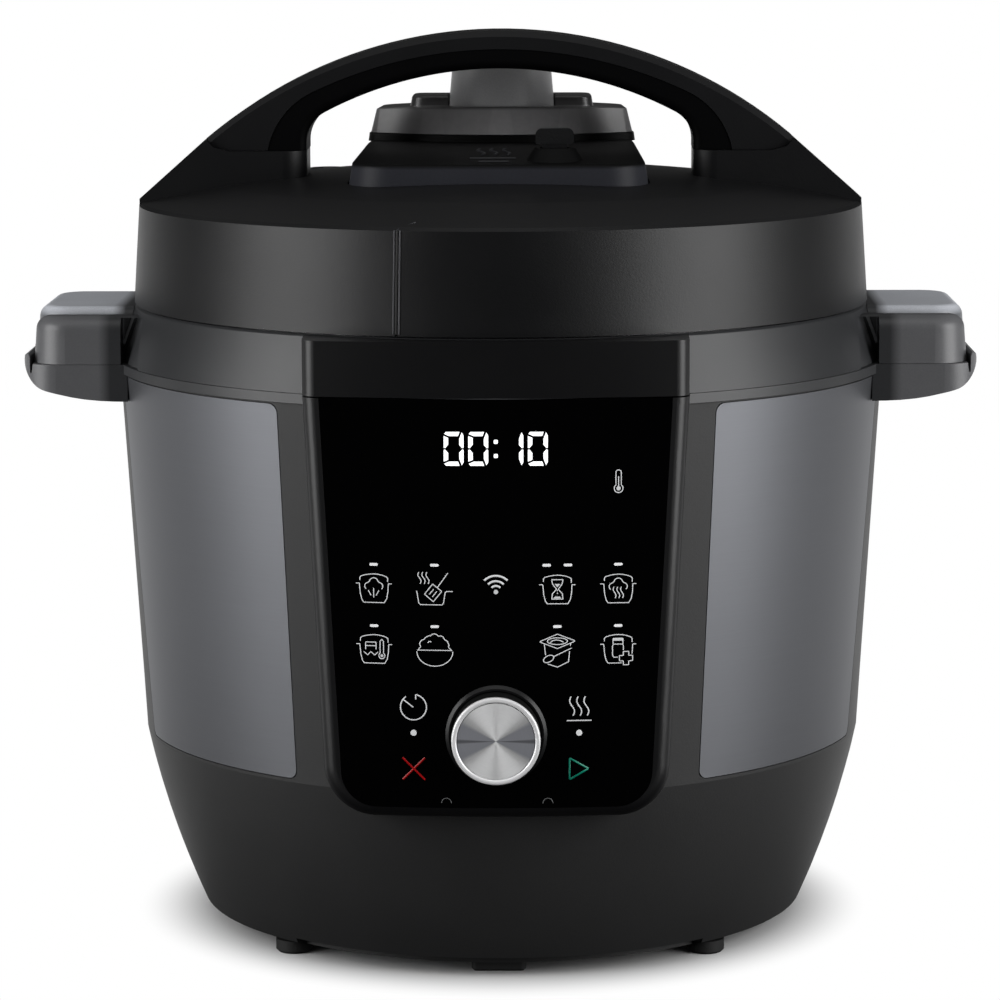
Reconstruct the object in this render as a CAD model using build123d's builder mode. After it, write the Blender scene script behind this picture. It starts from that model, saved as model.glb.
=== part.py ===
"""Electric pressure cooker, built piece by piece in millimetres.

The origin is on the floor under the pot axis. The control panel faces -Y and +Z is up.
Radii grow outwards from the inner pot, and heights stack upwards from the floor.
"""

import os
from math import atan2, cos, degrees, radians, sin, sqrt

from build123d import *

# Clearances
FIT = 0.15                  # between seated pieces that do not move
RUN = 0.4                   # between pieces that move past one another
REST = 0.3                  # under a piece that rests on another

# Radii, from the inner pot outwards
POT_R = 111.7               # inside of the inner pot
POT_WALL = 1.0
POT_GAP = 3.3               # inner pot to heater pot
HEATER_WALL = 1.2
LUG_REACH = 4.5             # bayonet lugs on the heater pot
LUG_GAP = 0.8
STEEL_WALL = 1.0            # steel lid plate
SKIRT_GAP = 1.9             # steel lid to plastic skirt
COVER_WALL = 2.8
SKIRT_DRAFT = 2.2           # skirt narrows by this to its upper edge
RIM_FLARE = 6.4             # rim ring widens by this to the split line
WALL_STEP = 1.05            # body wall under the rim overhang
WALL_TAPER = 7.5            # body narrows by this to the bowl crease
BOWL_TAPER = 19.55          # bowl narrows by this to its bottom edge
SHELL = 2.8                 # base housing wall

HEATER_IN = POT_R + POT_WALL + POT_GAP
HEATER_OUT = HEATER_IN + HEATER_WALL
LUG_R = HEATER_OUT + LUG_REACH
STEEL_IN = LUG_R + LUG_GAP
STEEL_OUT = STEEL_IN + STEEL_WALL
SKIRT_IN = STEEL_OUT + SKIRT_GAP
SKIRT_R = SKIRT_IN + COVER_WALL
EDGE_R = SKIRT_R - SKIRT_DRAFT
RIM_R = SKIRT_R + RIM_FLARE
WALL_R = RIM_R - WALL_STEP
CREASE_R = WALL_R - WALL_TAPER
BOWL_R = CREASE_R - BOWL_TAPER

# Heights, from the floor upwards through the inner pot
FOOT_HEIGHT = 4.5
FLOOR_THICK = 2.6           # bottom plate
MACHINE_SPACE = 39.2        # bottom plate to heater pot floor
PLATE_THICK = 12.0          # heating plate
POT_HEIGHT = 155.0
POT_DROP = 3.1              # pot rim below the rim ring top
UPPER_RIM_HEIGHT = 18.7
LOWER_RIM_HEIGHT = 3.5
BOWL_HEIGHT = 62.5
LID_SEAM = 0.5
SKIRT_HEIGHT = 34.6
DOME_RISE = 11.6
PEDESTAL_HEIGHT = 17.6
ARCH_RISE = 41.1            # pedestal top to arch top

HEATER_FLOOR = FOOT_HEIGHT + FLOOR_THICK + MACHINE_SPACE
PLATE_TOP = HEATER_FLOOR + PLATE_THICK
POT_BOTTOM = PLATE_TOP + REST
POT_TOP = POT_BOTTOM + POT_HEIGHT
RIM_TOP = POT_TOP + POT_DROP
SPLIT_Z = RIM_TOP - UPPER_RIM_HEIGHT
WALL_TOP = SPLIT_Z - LOWER_RIM_HEIGHT
CREASE_Z = FOOT_HEIGHT + BOWL_HEIGHT
WALL_HEIGHT = WALL_TOP - CREASE_Z
SKIRT_Z = RIM_TOP + LID_SEAM
EDGE_Z = SKIRT_Z + SKIRT_HEIGHT
CROWN_Z = EDGE_Z + DOME_RISE
PEDESTAL_Z = EDGE_Z + PEDESTAL_HEIGHT
ARCH_TOP = PEDESTAL_Z + ARCH_RISE

# Inner pot and heater
POT_RIM = 6.6               # rim flange reach
POT_RIM_THICK = 1.2
POT_CORNER = 12.0
PLATE_R = 92.0
SENSOR_R = 16.0
SENSOR_THICK = 7.0
SPRING_R = 9.6
SPRING_WIRE = 0.8
SPACER_R = 5.0
SPACER_AT = 66.2            # spacers from the pot axis

HEATER_TOP = POT_TOP - POT_RIM_THICK - RUN
SENSOR_BOTTOM = PLATE_TOP - SENSOR_THICK

# Bayonet
LUG_COUNT = 8
LUG_ARC = 20.0              # degrees
LUG_THICK = 2.4
LUG_DROP = 3.4              # heater pot top to lug top
LUG_PLAY = 1.2
LUG_Z = HEATER_TOP - LUG_DROP - LUG_THICK
LID_LUG_Z = LUG_Z - LUG_PLAY - LUG_THICK
LID_LUG_IN = HEATER_OUT + 1.5

# Base housing details
FOOT_R = 6.4
FOOT_SETBACK = 7.2          # foot centre inside the bowl edge
PAD_WIDTH = 18.4
PAD_DEPTH = 9.0
NOTCH_ARC = 80.0            # raised front part of the bottom edge, degrees
NOTCH_RISE = 2.8
VENT_RING = 53.0            # cooling slots from the pot axis
PANEL_SHEET = 0.8           # steel wrap panels
PANEL_AZ = 55.5             # centre of a side panel, degrees from the front
PANEL_IN_AZ = 32.3          # panel edges at the top and at the bottom
PANEL_IN_LOW_AZ = 31.8
PANEL_OUT_AZ = 76.4
PANEL_OUT_LOW_AZ = 72.6
PANEL_CORNER = 3.0
PANEL_CUT = 8.0             # cut outer top corner
REAR_HALF_AZ = 76.0
PANEL_LOW = 1.4             # panel edge above the bowl crease
PANEL_HIGH = 0.6            # panel edge below the rim

# Side handles
HANDLE_HALF = 40.0          # half width along Y
HANDLE_REACH = 26.2         # upper handle beyond the rim ring
LIP_REACH = 3.4             # lower handle lip beyond the upper handle
HANDLE_TOP = 16.5           # upper handle above the split line
HANDLE_BLOCK = 6.0
HANDLE_DROP = 12.7          # lower handle root below the split line
HANDLE_CORNER = 12.0
SLOT_NEAR = 9.0             # wall in front of the parking slot
SLOT_WIDTH = 10.0
PAD_TOP = 17.9
PAD_OVER = 0.8              # pad beyond the upper handle
PAD_INNER = 16.0            # pad plan inside the rim, before it is cut to the rim's slope
PAD_ROUND = 4.0
PAD_FIT = 0.2               # pad clear of the rim
HANDLE_DRAFT = 4.0          # degrees
GROOVE_WIDTH = 7.5          # upright groove where a handle meets the rim
GROOVE_DEPTH = 1.4
RIM_SCREW_IN = 16.0         # rim screws from the handle's end
RIM_SCREW_Y = 26.0
RIM_SCREW_SEAT = 6.0        # screw heads below the split line
RIM_SCREW_LENGTH = 10.0
HANDLE_X = RIM_R + HANDLE_REACH
LIP_X = HANDLE_X + LIP_REACH

# Control panel
PANEL_PROUD = 1.05          # front centre beyond the body wall
PANEL_BULGE = 320.0         # plan radius of the front
PANEL_TOP_HALF = 62.1
PANEL_LOW_HALF = 55.3
PANEL_DROP = 5.9            # panel bottom below the bowl crease
PANEL_ROUND = 17.0
PANEL_BEVEL = 5.0
HEADER_SEAM = 0.5
HEADER_DROP = 0.3           # header top below the rim top
FRAME_WIDTH = 5.6           # bezel beside the glass
FRAME_LOW = 4.0             # bezel under the glass
GLASS_THICK = 3.0
LEDGE = 3.2                 # bezel ledge behind the glass
BOARD_THICK = 1.6
BOARD_BACK = 9.5            # glass back to control board
DIAL_UP = 22.2              # dial centre above the bowl crease
DIAL_R = 14.3
DIAL_TRIM = 1.7
DIAL_REACH = 10.5           # dial face in front of the glass
DIAL_TRAVEL = 1.0
SEAT_WALL = 1.7
SHAFT_R = 3.0
ENCODER_WIDTH = 13.0
ENCODER_DEPTH = 6.5
DISPLAY_WIDTH = 60.0
DISPLAY_HEIGHT = 22.0
DISPLAY_DOWN = 13.0         # display centre under the top of the cavity

FRONT_Y = -(WALL_R + PANEL_PROUD)
BULGE_Y = FRONT_Y + PANEL_BULGE
PANEL_Z = CREASE_Z - PANEL_DROP
HEADER_Z = SPLIT_Z
HEADER_TOP = RIM_TOP - HEADER_DROP
GLASS_BACK = FRONT_Y + GLASS_THICK
BOARD_Y = GLASS_BACK + BOARD_BACK
DIAL_Z = CREASE_Z + DIAL_UP
DIAL_FACE = FRONT_Y - DIAL_REACH
SEAT_R = DIAL_R + RUN + SEAT_WALL
PANEL_CLEAR = HEATER_OUT + 1.6

# Rear
CUP_HALF = 36.0
CUP_HEIGHT = 40.0
CUP_WALL = 1.8
CUP_FLANGE = 3.5
HOOD_DROP = 5.5             # hood below the wall top
INLET_WIDTH = 48.0
INLET_HEIGHT = 25.0
INLET_DEPTH = 22.0
INLET_UP = 22.0             # inlet centre above the bottom edge
INLET_FRAME = 2.0
SOCKET_WIDTH = 28.0
SOCKET_HEIGHT = 19.0
POWER_WIDTH = 100.0         # power board
POWER_DEPTH = 58.0
POWER_POST = 6.0
RELAY_WIDTH = 24.0
RELAY_DEPTH = 20.0
RELAY_HEIGHT = 14.0
COIL_WIDTH = 20.0
COIL_DEPTH = 15.0
COIL_HEIGHT = 12.0
REAR_Y = -DIAL_FACE
INLET_Z = FOOT_HEIGHT + INLET_UP
INLET_Y = BOWL_R + 6.0

# Lid
DOME_WALL = 2.5
SEAM_TURN = 14.4            # skirt seam left of the front, in degrees
SEAM_DROP = 2.5             # seam end below the lid's edge
SEAM_ARC = 0.4              # degrees
CREST_INSET = 30.3          # steep rim of the dome
CREST_R = EDGE_R - CREST_INSET
CREST_Z = EDGE_Z + 0.5 * DOME_RISE
SEAL_GAP = 0.3
SEAL_HEIGHT = 14.0
PLATE_GAP = 0.6
LID_PLATE_Z = POT_TOP + SEAL_GAP + SEAL_HEIGHT + PLATE_GAP
LID_PLATE_TOP = LID_PLATE_Z + STEEL_WALL
WELL_DEPTH = 6.0            # well floor under the crown
WELL_Z = CROWN_Z - WELL_DEPTH
LID_SCREW_X = 80.0
LID_SCREW_Y = 29.0
LID_SCREW_LENGTH = 12.0
BOTTOM_SCREW_LENGTH = 10.6
BOARD_SCREW_LENGTH = 5.1
HANDLE_SCREW_LENGTH = 14.0

# Valve console
CONSOLE_FRONT = 58.0
CONSOLE_REAR = 68.0
CONSOLE_HALF = 50.0
CONSOLE_REAR_HALF = 46.0
CONSOLE_LIP = 10.0          # front edge above the well
CONSOLE_RISE = 3.0
CONSOLE_DRAFT = 1.6         # console widens by this to the well
DECK_HEIGHT = 2.3           # raised seat under the steam cover
CONSOLE_WALL = 2.4
CONSOLE_CORNER = 14.0
COVER_FRONT = 16.5
CONSOLE_LIP_Z = WELL_Z + CONSOLE_LIP
CONSOLE_TOP = CONSOLE_LIP_Z + CONSOLE_RISE
DECK_Z = CONSOLE_TOP + DECK_HEIGHT

# Steam path
VENT_Y = 38.0
PIPE_R = 4.0
PIPE_BORE = 1.6
PIPE_UP = 9.0               # pipe top above the console
WEIGHT_R = 8.5
WEIGHT_HEIGHT = 9.0
FLOAT_X = -62.0
FLOAT_Y = 38.0
FLOAT_R = 3.0
FLOAT_TRAVEL = 4.5

# Quick release switch
SWITCH_X = 19.0
SWITCH_Y = -42.0
SWITCH_TILT = 18.0          # degrees
SWITCH_WIDTH = 13.0
SWITCH_THICK = 4.4
SWITCH_PIN_R = 1.2
SWITCH_TALL = 7.6           # pivot to paddle
PADDLE_HEIGHT = 5.2
BOSS_R = 10.3               # cone round the switch
BOSS_TOP_R = 7.0
LINK_THICK = 2.0
LINK_ARM = 7.2              # pivot to link
LINK_SLOPE = 0.5            # ramp under the steam weight

# Steam cover
STEAM_HEIGHT = 9.6
STEAM_CROWN = 1.6           # roof falls by this to its ends
STEAM_HALF = 47.0
STEAM_STEP = 3.5
STEAM_STEP_HALF = 33.0
STEAM_STEP_DEPTH = 19.0
STEAM_STEP_BACK = 7.5       # step behind the vent pipe
STEAM_STEP_ROUND = 1.6
CHIMNEY_R = 19.3
CHIMNEY_TOP_R = 17.4
CHIMNEY_HEIGHT = 16.7
CHIMNEY_WALL = 1.8
CHIMNEY_BACK = 1.5          # chimney axis behind the vent pipe
CHIMNEY_FLANGE = 1.4
STEAM_WALL = 1.8

# Arch handle
ARCH_HALF = 14.5            # half depth along Y
ARCH_INSET = 24.3           # arch foot inside the lid's edge
COVER_LEG = 21.0            # outer leg, then the grip's leg inside it
GRIP_LEG = 13.7
SPLIT_DROP = 23.5           # fall of the split line from its middle to its shoulders
GRIP_DROP = 18.5
SPLIT_ROUND = 28.0
GRIP_ROUND = 12.0
ARCH_THICK = 13.0
GRIP_THICK = 6.6
ARCH_LIP = 4.2
ARCH_BEVEL = 2.0
SCREW_R = 1.8
SCREW_HEAD_R = 3.4
SCREW_HEAD = 2.2

ARCH_FOOT = EDGE_R - ARCH_INSET
ARCH_SPLIT = ARCH_FOOT - COVER_LEG
ARCH_IN = ARCH_SPLIT - GRIP_LEG


def wall_radius(z):
    """Outer radius of the tapered body wall at height z."""
    return CREASE_R + (WALL_R - CREASE_R) * (z - CREASE_Z) / WALL_HEIGHT


def panel_half(z):
    """Half width of the control panel at height z."""
    if z >= HEADER_Z:
        return PANEL_TOP_HALF
    return PANEL_LOW_HALF + (PANEL_TOP_HALF - PANEL_LOW_HALF) * (z - PANEL_Z) / (HEADER_Z - PANEL_Z)


def dome_height(r):
    """Height of the lid's outer surface at radius r."""
    if r > CREST_R:
        return EDGE_Z + (CREST_Z - EDGE_Z) * (EDGE_R - r) / (EDGE_R - CREST_R)
    return CREST_Z + (CROWN_Z - CREST_Z) * (1 - (r / CREST_R) ** 2)


def ring_sector(r_in, r_out, z_low, z_high, centre, arc):
    """A sector of a flat ring, centred on an angle measured from +X."""
    with BuildPart() as sector:
        with BuildSketch(Plane.XZ):
            with BuildLine():
                Polyline((r_in, z_low), (r_out, z_low), (r_out, z_high), (r_in, z_high), close=True)
            make_face()
        revolve(axis=Axis.Z, revolution_arc=arc)
    return Rot(0, 0, centre - arc / 2) * sector.part


def write_piece(piece, name):
    """Name one finished piece and write it."""
    piece.label = name
    export_step(piece, f"parts/{name}.step")


os.makedirs("parts", exist_ok=True)


# Base housing: bowl, tapered wall, recesses for the wrap panels

BOWL_MID = (BOWL_R + 0.610 * BOWL_TAPER, FOOT_HEIGHT + 1.2 + 0.510 * BOWL_HEIGHT)
LEDGE_R = BOWL_R - 8.0
FLOOR_R = BOWL_R - 4.2
LEDGE_Z = FOOT_HEIGHT + FLOOR_THICK + FIT
PANEL_BOTTOM = CREASE_Z + PANEL_LOW
PANEL_TOP = WALL_TOP - PANEL_HIGH
RECESS = PANEL_SHEET + FIT


def panel_plane(side):
    """Plane facing outwards at the middle of a side panel; side is -1 for left, 1 for right."""
    az = radians(PANEL_AZ)
    outward = (side * sin(az), -cos(az), 0)
    along = (side * cos(az), sin(az), 0)
    return Plane(origin=(0, 0, 0), x_dir=(side * along[0], side * along[1], 0), z_dir=outward)


def panel_outline(side, grow):
    """Corner points of a side panel on its plane, grown all round."""
    low_r = wall_radius(PANEL_BOTTOM)
    high_r = wall_radius(PANEL_TOP)
    low_in = low_r * sin(radians(PANEL_IN_LOW_AZ - PANEL_AZ)) - grow
    high_in = high_r * sin(radians(PANEL_IN_AZ - PANEL_AZ)) - grow
    low_out = low_r * sin(radians(PANEL_OUT_LOW_AZ - PANEL_AZ)) + grow
    high_out = high_r * sin(radians(PANEL_OUT_AZ - PANEL_AZ)) + grow
    low = PANEL_BOTTOM - grow
    high = PANEL_TOP + grow
    points = [
        (low_in, low),
        (low_out, low),
        (high_out, high - PANEL_CUT),
        (high_out - PANEL_CUT, high),
        (high_in, high),
    ]
    return [(side * u, v) for u, v in points]


def wall_shell(inner, outer):
    """Tapered shell following the body wall between two depths below its surface."""
    low = PANEL_BOTTOM - 4
    high = WALL_TOP
    with BuildPart() as shell:
        with BuildSketch(Plane.XZ):
            with BuildLine():
                Polyline(
                    (wall_radius(low) - inner, low),
                    (wall_radius(low) - outer, low),
                    (wall_radius(high) - outer, high),
                    (wall_radius(high) - inner, high),
                    close=True,
                )
            make_face()
        revolve(axis=Axis.Z)
    return shell.part


def side_panel(side, inner, outer, grow):
    """A side wrap panel, or its recess when grown."""
    with BuildPart() as panel:
        add(wall_shell(inner, outer))
        with BuildSketch(panel_plane(side)) as outline:
            with BuildLine():
                Polyline(*panel_outline(side, grow), close=True)
            make_face()
            fillet(outline.vertices(), PANEL_CORNER)
        extrude(amount=WALL_R * 1.5, mode=Mode.INTERSECT)
    return panel.part


def rear_panel_band(inner, outer, low, high, half_arc):
    """Rear wrap panel, or its recess, as a sector of the wall."""
    with BuildPart() as band:
        with BuildSketch(Plane.XZ):
            with BuildLine():
                Polyline(
                    (wall_radius(low) - inner, low),
                    (wall_radius(low) - outer, low),
                    (wall_radius(high) - outer, high),
                    (wall_radius(high) - inner, high),
                    close=True,
                )
            make_face()
        revolve(axis=Axis.Z, revolution_arc=2 * half_arc)
    return Rot(0, 0, 90 - half_arc) * band.part


def panel_shape(grow, low, high, front, sink=0):
    """Control panel outline pushed back from a front plane, grown all round and sunk at the bottom."""
    bottom = PANEL_Z - grow - sink
    with BuildPart() as shape:
        with BuildSketch(Plane.XZ.offset(-front)) as outline:
            with BuildLine():
                Polyline(
                    (panel_half(PANEL_Z) + grow, bottom),
                    (PANEL_TOP_HALF + grow, HEADER_Z),
                    (PANEL_TOP_HALF + grow, HEADER_TOP + grow),
                    (-PANEL_TOP_HALF - grow, HEADER_TOP + grow),
                    (-PANEL_TOP_HALF - grow, HEADER_Z),
                    (-panel_half(PANEL_Z) - grow, bottom),
                    close=True,
                )
            make_face()
            fillet(outline.vertices().group_by(Axis.Y)[0], PANEL_ROUND + grow)
        extrude(amount=-80)
        with BuildSketch(Plane.XY.offset(low)):
            Rectangle(4 * PANEL_TOP_HALF, 8 * PANEL_BULGE)
        extrude(amount=high - low, mode=Mode.INTERSECT)
    return shape.part


with BuildPart() as base_housing:
    with BuildSketch(Plane.XZ):
        with BuildLine():
            Polyline(
                (FLOOR_R + FIT, LEDGE_Z),
                (FLOOR_R + FIT, FOOT_HEIGHT),
                (BOWL_R - 3.4, FOOT_HEIGHT),
                (BOWL_R, FOOT_HEIGHT + 1.2),
            )
            ThreePointArc((BOWL_R, FOOT_HEIGHT + 1.2), BOWL_MID, (CREASE_R, CREASE_Z))
            Polyline(
                (CREASE_R, CREASE_Z),
                (WALL_R, WALL_TOP),
                (WALL_R - SHELL, WALL_TOP),
                (CREASE_R - SHELL, CREASE_Z),
            )
            ThreePointArc(
                (CREASE_R - SHELL, CREASE_Z),
                (BOWL_MID[0] - SHELL, BOWL_MID[1] + 0.6),
                (BOWL_R - SHELL + 1.6, LEDGE_Z + 2.5),
            )
            Polyline(
                (BOWL_R - SHELL + 1.6, LEDGE_Z + 2.5),
                (LEDGE_R, LEDGE_Z + 2.5),
                (LEDGE_R, LEDGE_Z),
                (FLOOR_R + FIT, LEDGE_Z),
            )
        make_face()
    revolve(axis=Axis.Z)
    for side in (-1, 1):
        add(side_panel(side, RECESS, -2, 0.3), mode=Mode.SUBTRACT)
    rear_recess = rear_panel_band(RECESS, -2, PANEL_BOTTOM - 0.3, PANEL_TOP + 0.3, REAR_HALF_AZ + 0.15)
    add(rear_recess, mode=Mode.SUBTRACT)
    # raised front part of the bottom edge
    notch = ring_sector(FLOOR_R, BOWL_R + 20, 0, FOOT_HEIGHT + NOTCH_RISE, -90, NOTCH_ARC)
    add(notch, mode=Mode.SUBTRACT)
    # opening for the control panel
    add(panel_shape(0.3, PANEL_Z - 1, WALL_TOP + 1, FRONT_Y - 20), mode=Mode.SUBTRACT)
    # frame and window for the power inlet
    with BuildSketch(Plane.XZ.offset(-INLET_Y)):
        with Locations((0, INLET_Z)):
            RectangleRounded(INLET_WIDTH + 2 * INLET_FRAME, INLET_HEIGHT + 2 * INLET_FRAME, 3)
    extrude(amount=INLET_DEPTH)
    with BuildSketch(Plane.XZ.offset(-INLET_Y - 30)):
        with Locations((0, INLET_Z)):
            Rectangle(INLET_WIDTH + 2 * FIT, INLET_HEIGHT + 2 * FIT)
    extrude(amount=INLET_DEPTH + 60, mode=Mode.SUBTRACT)
    # bosses for the bottom screws
    with BuildSketch(Plane.XY.offset(LEDGE_Z)):
        with PolarLocations(LEDGE_R - 2, 4, start_angle=22.5):
            Circle(5)
    extrude(amount=12)
    with BuildSketch(Plane.XY.offset(LEDGE_Z)):
        with PolarLocations(LEDGE_R - 2, 4, start_angle=22.5):
            Circle(SCREW_R + FIT)
    extrude(amount=10, mode=Mode.SUBTRACT)
write_piece(base_housing.part, "base_housing")

for side, name in ((-1, "left_panel"), (1, "right_panel")):
    with BuildPart() as wrap_panel:
        add(side_panel(side, PANEL_SHEET, 0, 0))
    write_piece(wrap_panel.part, name)

with BuildPart() as rear_panel:
    add(rear_panel_band(PANEL_SHEET, 0, PANEL_BOTTOM, PANEL_TOP, REAR_HALF_AZ))
write_piece(rear_panel.part, "rear_panel")


# Bottom plate, feet and their screws

POWER_POSTS = [
    (sx * (POWER_WIDTH / 2 - POWER_POST), sy * (POWER_DEPTH / 2 - POWER_POST))
    for sx in (-1, 1)
    for sy in (-1, 1)
]

with BuildPart() as bottom_plate:
    with BuildSketch(Plane.XY.offset(FOOT_HEIGHT)):
        Circle(FLOOR_R)
        with PolarLocations(LEDGE_R - 2, 4, start_angle=22.5):
            Circle(SCREW_R + FIT, mode=Mode.SUBTRACT)
        with PolarLocations(VENT_RING, 12, start_angle=15):
            SlotOverall(26, 4, mode=Mode.SUBTRACT)
    extrude(amount=FLOOR_THICK)
    # posts for the power board
    with BuildSketch(Plane.XY.offset(FOOT_HEIGHT + FLOOR_THICK)):
        with Locations(*POWER_POSTS):
            Circle(3.5)
    extrude(amount=POWER_POST)
write_piece(bottom_plate.part, "bottom_plate")

with BuildPart() as feet:
    with BuildSketch():
        with PolarLocations(BOWL_R - FOOT_SETBACK, 4, start_angle=45):
            Circle(FOOT_R)
        with Locations((0, -FLOOR_R + PAD_DEPTH / 2 + 5), (0, FLOOR_R - PAD_DEPTH / 2 - 5)):
            RectangleRounded(PAD_WIDTH, PAD_DEPTH, 2)
    extrude(amount=FOOT_HEIGHT)
    chamfer(feet.edges().group_by(Axis.Z)[0], 0.8)
write_piece(feet.part, "feet")

with BuildPart() as bottom_screws:
    with BuildSketch(Plane.XY.offset(FOOT_HEIGHT)):
        with PolarLocations(LEDGE_R - 2, 4, start_angle=22.5):
            Circle(SCREW_HEAD_R)
    extrude(amount=-SCREW_HEAD)
    with BuildSketch(Plane.XY.offset(FOOT_HEIGHT)):
        with PolarLocations(LEDGE_R - 2, 4, start_angle=22.5):
            Circle(SCREW_R)
    extrude(amount=BOTTOM_SCREW_LENGTH)
write_piece(bottom_screws.part, "bottom_screws")


# Rim rings and side handles

def handle_plan(side, reach, z_low, z_high):
    """Rounded handle block reaching out to one side."""
    with BuildPart() as block:
        with BuildSketch(Plane.XY.offset(z_low)) as plan:
            with Locations((side * reach / 2, 0)):
                Rectangle(reach, 2 * HANDLE_HALF)
            fillet(plan.vertices().sort_by(Axis.X, reverse=side > 0)[0:2], HANDLE_CORNER)
        extrude(amount=z_high - z_low, taper=HANDLE_DRAFT)
    return block.part


CHANNEL_FLOOR = SPLIT_Z + 3.0
LOWER_LIP_R = WALL_R - SHELL - 0.5
HOOD_HALF = CUP_HALF + CUP_FLANGE + 3.0 + RUN
HOOD_Z = WALL_TOP - HOOD_DROP
DRIP_Y = STEEL_IN + 1.5
RIM_SPOTS = [(sx * (HANDLE_X - RIM_SCREW_IN), sy * RIM_SCREW_Y) for sx in (-1, 1) for sy in (-1, 1)]
GROOVE_X = sqrt(RIM_R ** 2 - HANDLE_HALF ** 2) - 2.5
GROOVE_SPOTS = [(sx * GROOVE_X, sy * 1.1 * HANDLE_HALF) for sx in (-1, 1) for sy in (-1, 1)]

with BuildPart() as lower_rim:
    for side in (-1, 1):
        with BuildSketch(Plane.XZ.offset(HANDLE_HALF)):
            with BuildLine():
                Polyline(
                    (side * (WALL_R - 6), SPLIT_Z - HANDLE_DROP),
                    (side * (WALL_R - 6), SPLIT_Z),
                    (side * (HANDLE_X - 0.4), SPLIT_Z),
                    (side * (HANDLE_X + 0.1), SPLIT_Z - 3.2),
                    (side * (HANDLE_X + 0.7), SPLIT_Z - 3.2),
                    (side * (HANDLE_X + 0.8), SPLIT_Z + 2.4),
                    (side * (HANDLE_X + 1.4), SPLIT_Z + 3.4),
                    (side * (LIP_X - 0.5), SPLIT_Z + 2.6),
                    (side * LIP_X, SPLIT_Z + 0.6),
                )
                Spline(
                    (side * LIP_X, SPLIT_Z + 0.6),
                    (side * (LIP_X - 1.0), SPLIT_Z - 2.6),
                    (side * (LIP_X - 2.9), SPLIT_Z - 5.6),
                    (side * (LIP_X - 6.0), SPLIT_Z - 8.2),
                    (side * (LIP_X - 10.0), SPLIT_Z - 9.5),
                    (side * (LIP_X - 18.0), SPLIT_Z - 11.3),
                    (side * (WALL_R - 6), SPLIT_Z - HANDLE_DROP),
                )
            make_face()
        extrude(amount=-2 * HANDLE_HALF)
    with BuildSketch() as lower_plan:
        Rectangle(2 * LIP_X, 2 * HANDLE_HALF)
        fillet(lower_plan.vertices(), HANDLE_CORNER)
    extrude(amount=2 * RIM_TOP, mode=Mode.INTERSECT)
    # rear hood over the condensation cup
    with BuildSketch(Plane.XY.offset(HOOD_Z)) as hood_plan:
        with Locations((0, REAR_Y / 2)):
            Rectangle(2 * HOOD_HALF, REAR_Y - 1.5)
        fillet(hood_plan.vertices().group_by(Axis.Y)[-1], 6)
    extrude(amount=SPLIT_Z - HOOD_Z)
    for side in (-1, 1):
        with BuildSketch(Plane.XZ.offset(-REAR_Y + 6.8)):
            with BuildLine():
                Polyline(
                    (side * HOOD_HALF, HOOD_Z),
                    (side * (HOOD_HALF - 3.0), HOOD_Z),
                    (side * (HOOD_HALF - 3.0), HOOD_Z - 3.2),
                    (side * (HOOD_HALF - 6.0), HOOD_Z - 3.2),
                    (side * (HOOD_HALF - 6.0), HOOD_Z - 5.2),
                    (side * HOOD_HALF, HOOD_Z - 5.2),
                    close=True,
                )
            make_face()
        extrude(amount=REAR_Y - 10)
    # clear the body wall and everything inside it
    with BuildSketch(Plane.XZ):
        with BuildLine():
            Polyline(
                (0, CREASE_Z),
                (wall_radius(CREASE_Z) + 0.2, CREASE_Z),
                (WALL_R + 0.2, WALL_TOP),
                (LOWER_LIP_R, WALL_TOP),
                (LOWER_LIP_R, SPLIT_Z + 10),
                (0, SPLIT_Z + 10),
                close=True,
            )
        make_face()
    revolve(axis=Axis.Z, mode=Mode.SUBTRACT)
    with BuildSketch(Plane.XZ):
        with BuildLine():
            Polyline(
                (HEATER_OUT + 3, SPLIT_Z),
                (RIM_R + 0.2, SPLIT_Z),
                (RIM_R + 0.2, WALL_TOP + 0.3),
                (WALL_R - 0.6, WALL_TOP),
                (LOWER_LIP_R, WALL_TOP),
                (LOWER_LIP_R, WALL_TOP - 4),
                (LOWER_LIP_R - 2, WALL_TOP - 4),
                (LOWER_LIP_R - 2, SPLIT_Z - 2.4),
                (HEATER_OUT + 3, SPLIT_Z - 2.4),
                close=True,
            )
        make_face()
    revolve(axis=Axis.Z)
    # front gap for the control panel, drip hole, screw holes
    add(panel_shape(0.3, PANEL_Z, SPLIT_Z + 5, FRONT_Y - 20), mode=Mode.SUBTRACT)
    with BuildSketch(Plane.XY.offset(HOOD_Z - 1)):
        with Locations((0, DRIP_Y + 4)):
            Circle(3.2)
        with Locations(*RIM_SPOTS):
            Circle(SCREW_R + FIT)
    extrude(amount=40, mode=Mode.SUBTRACT)
    with BuildSketch(Plane.XY.offset(SPLIT_Z - RIM_SCREW_SEAT)):
        with Locations(*RIM_SPOTS):
            Circle(SCREW_HEAD_R + FIT)
    extrude(amount=-20, mode=Mode.SUBTRACT)
write_piece(lower_rim.part, "lower_rim")

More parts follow.
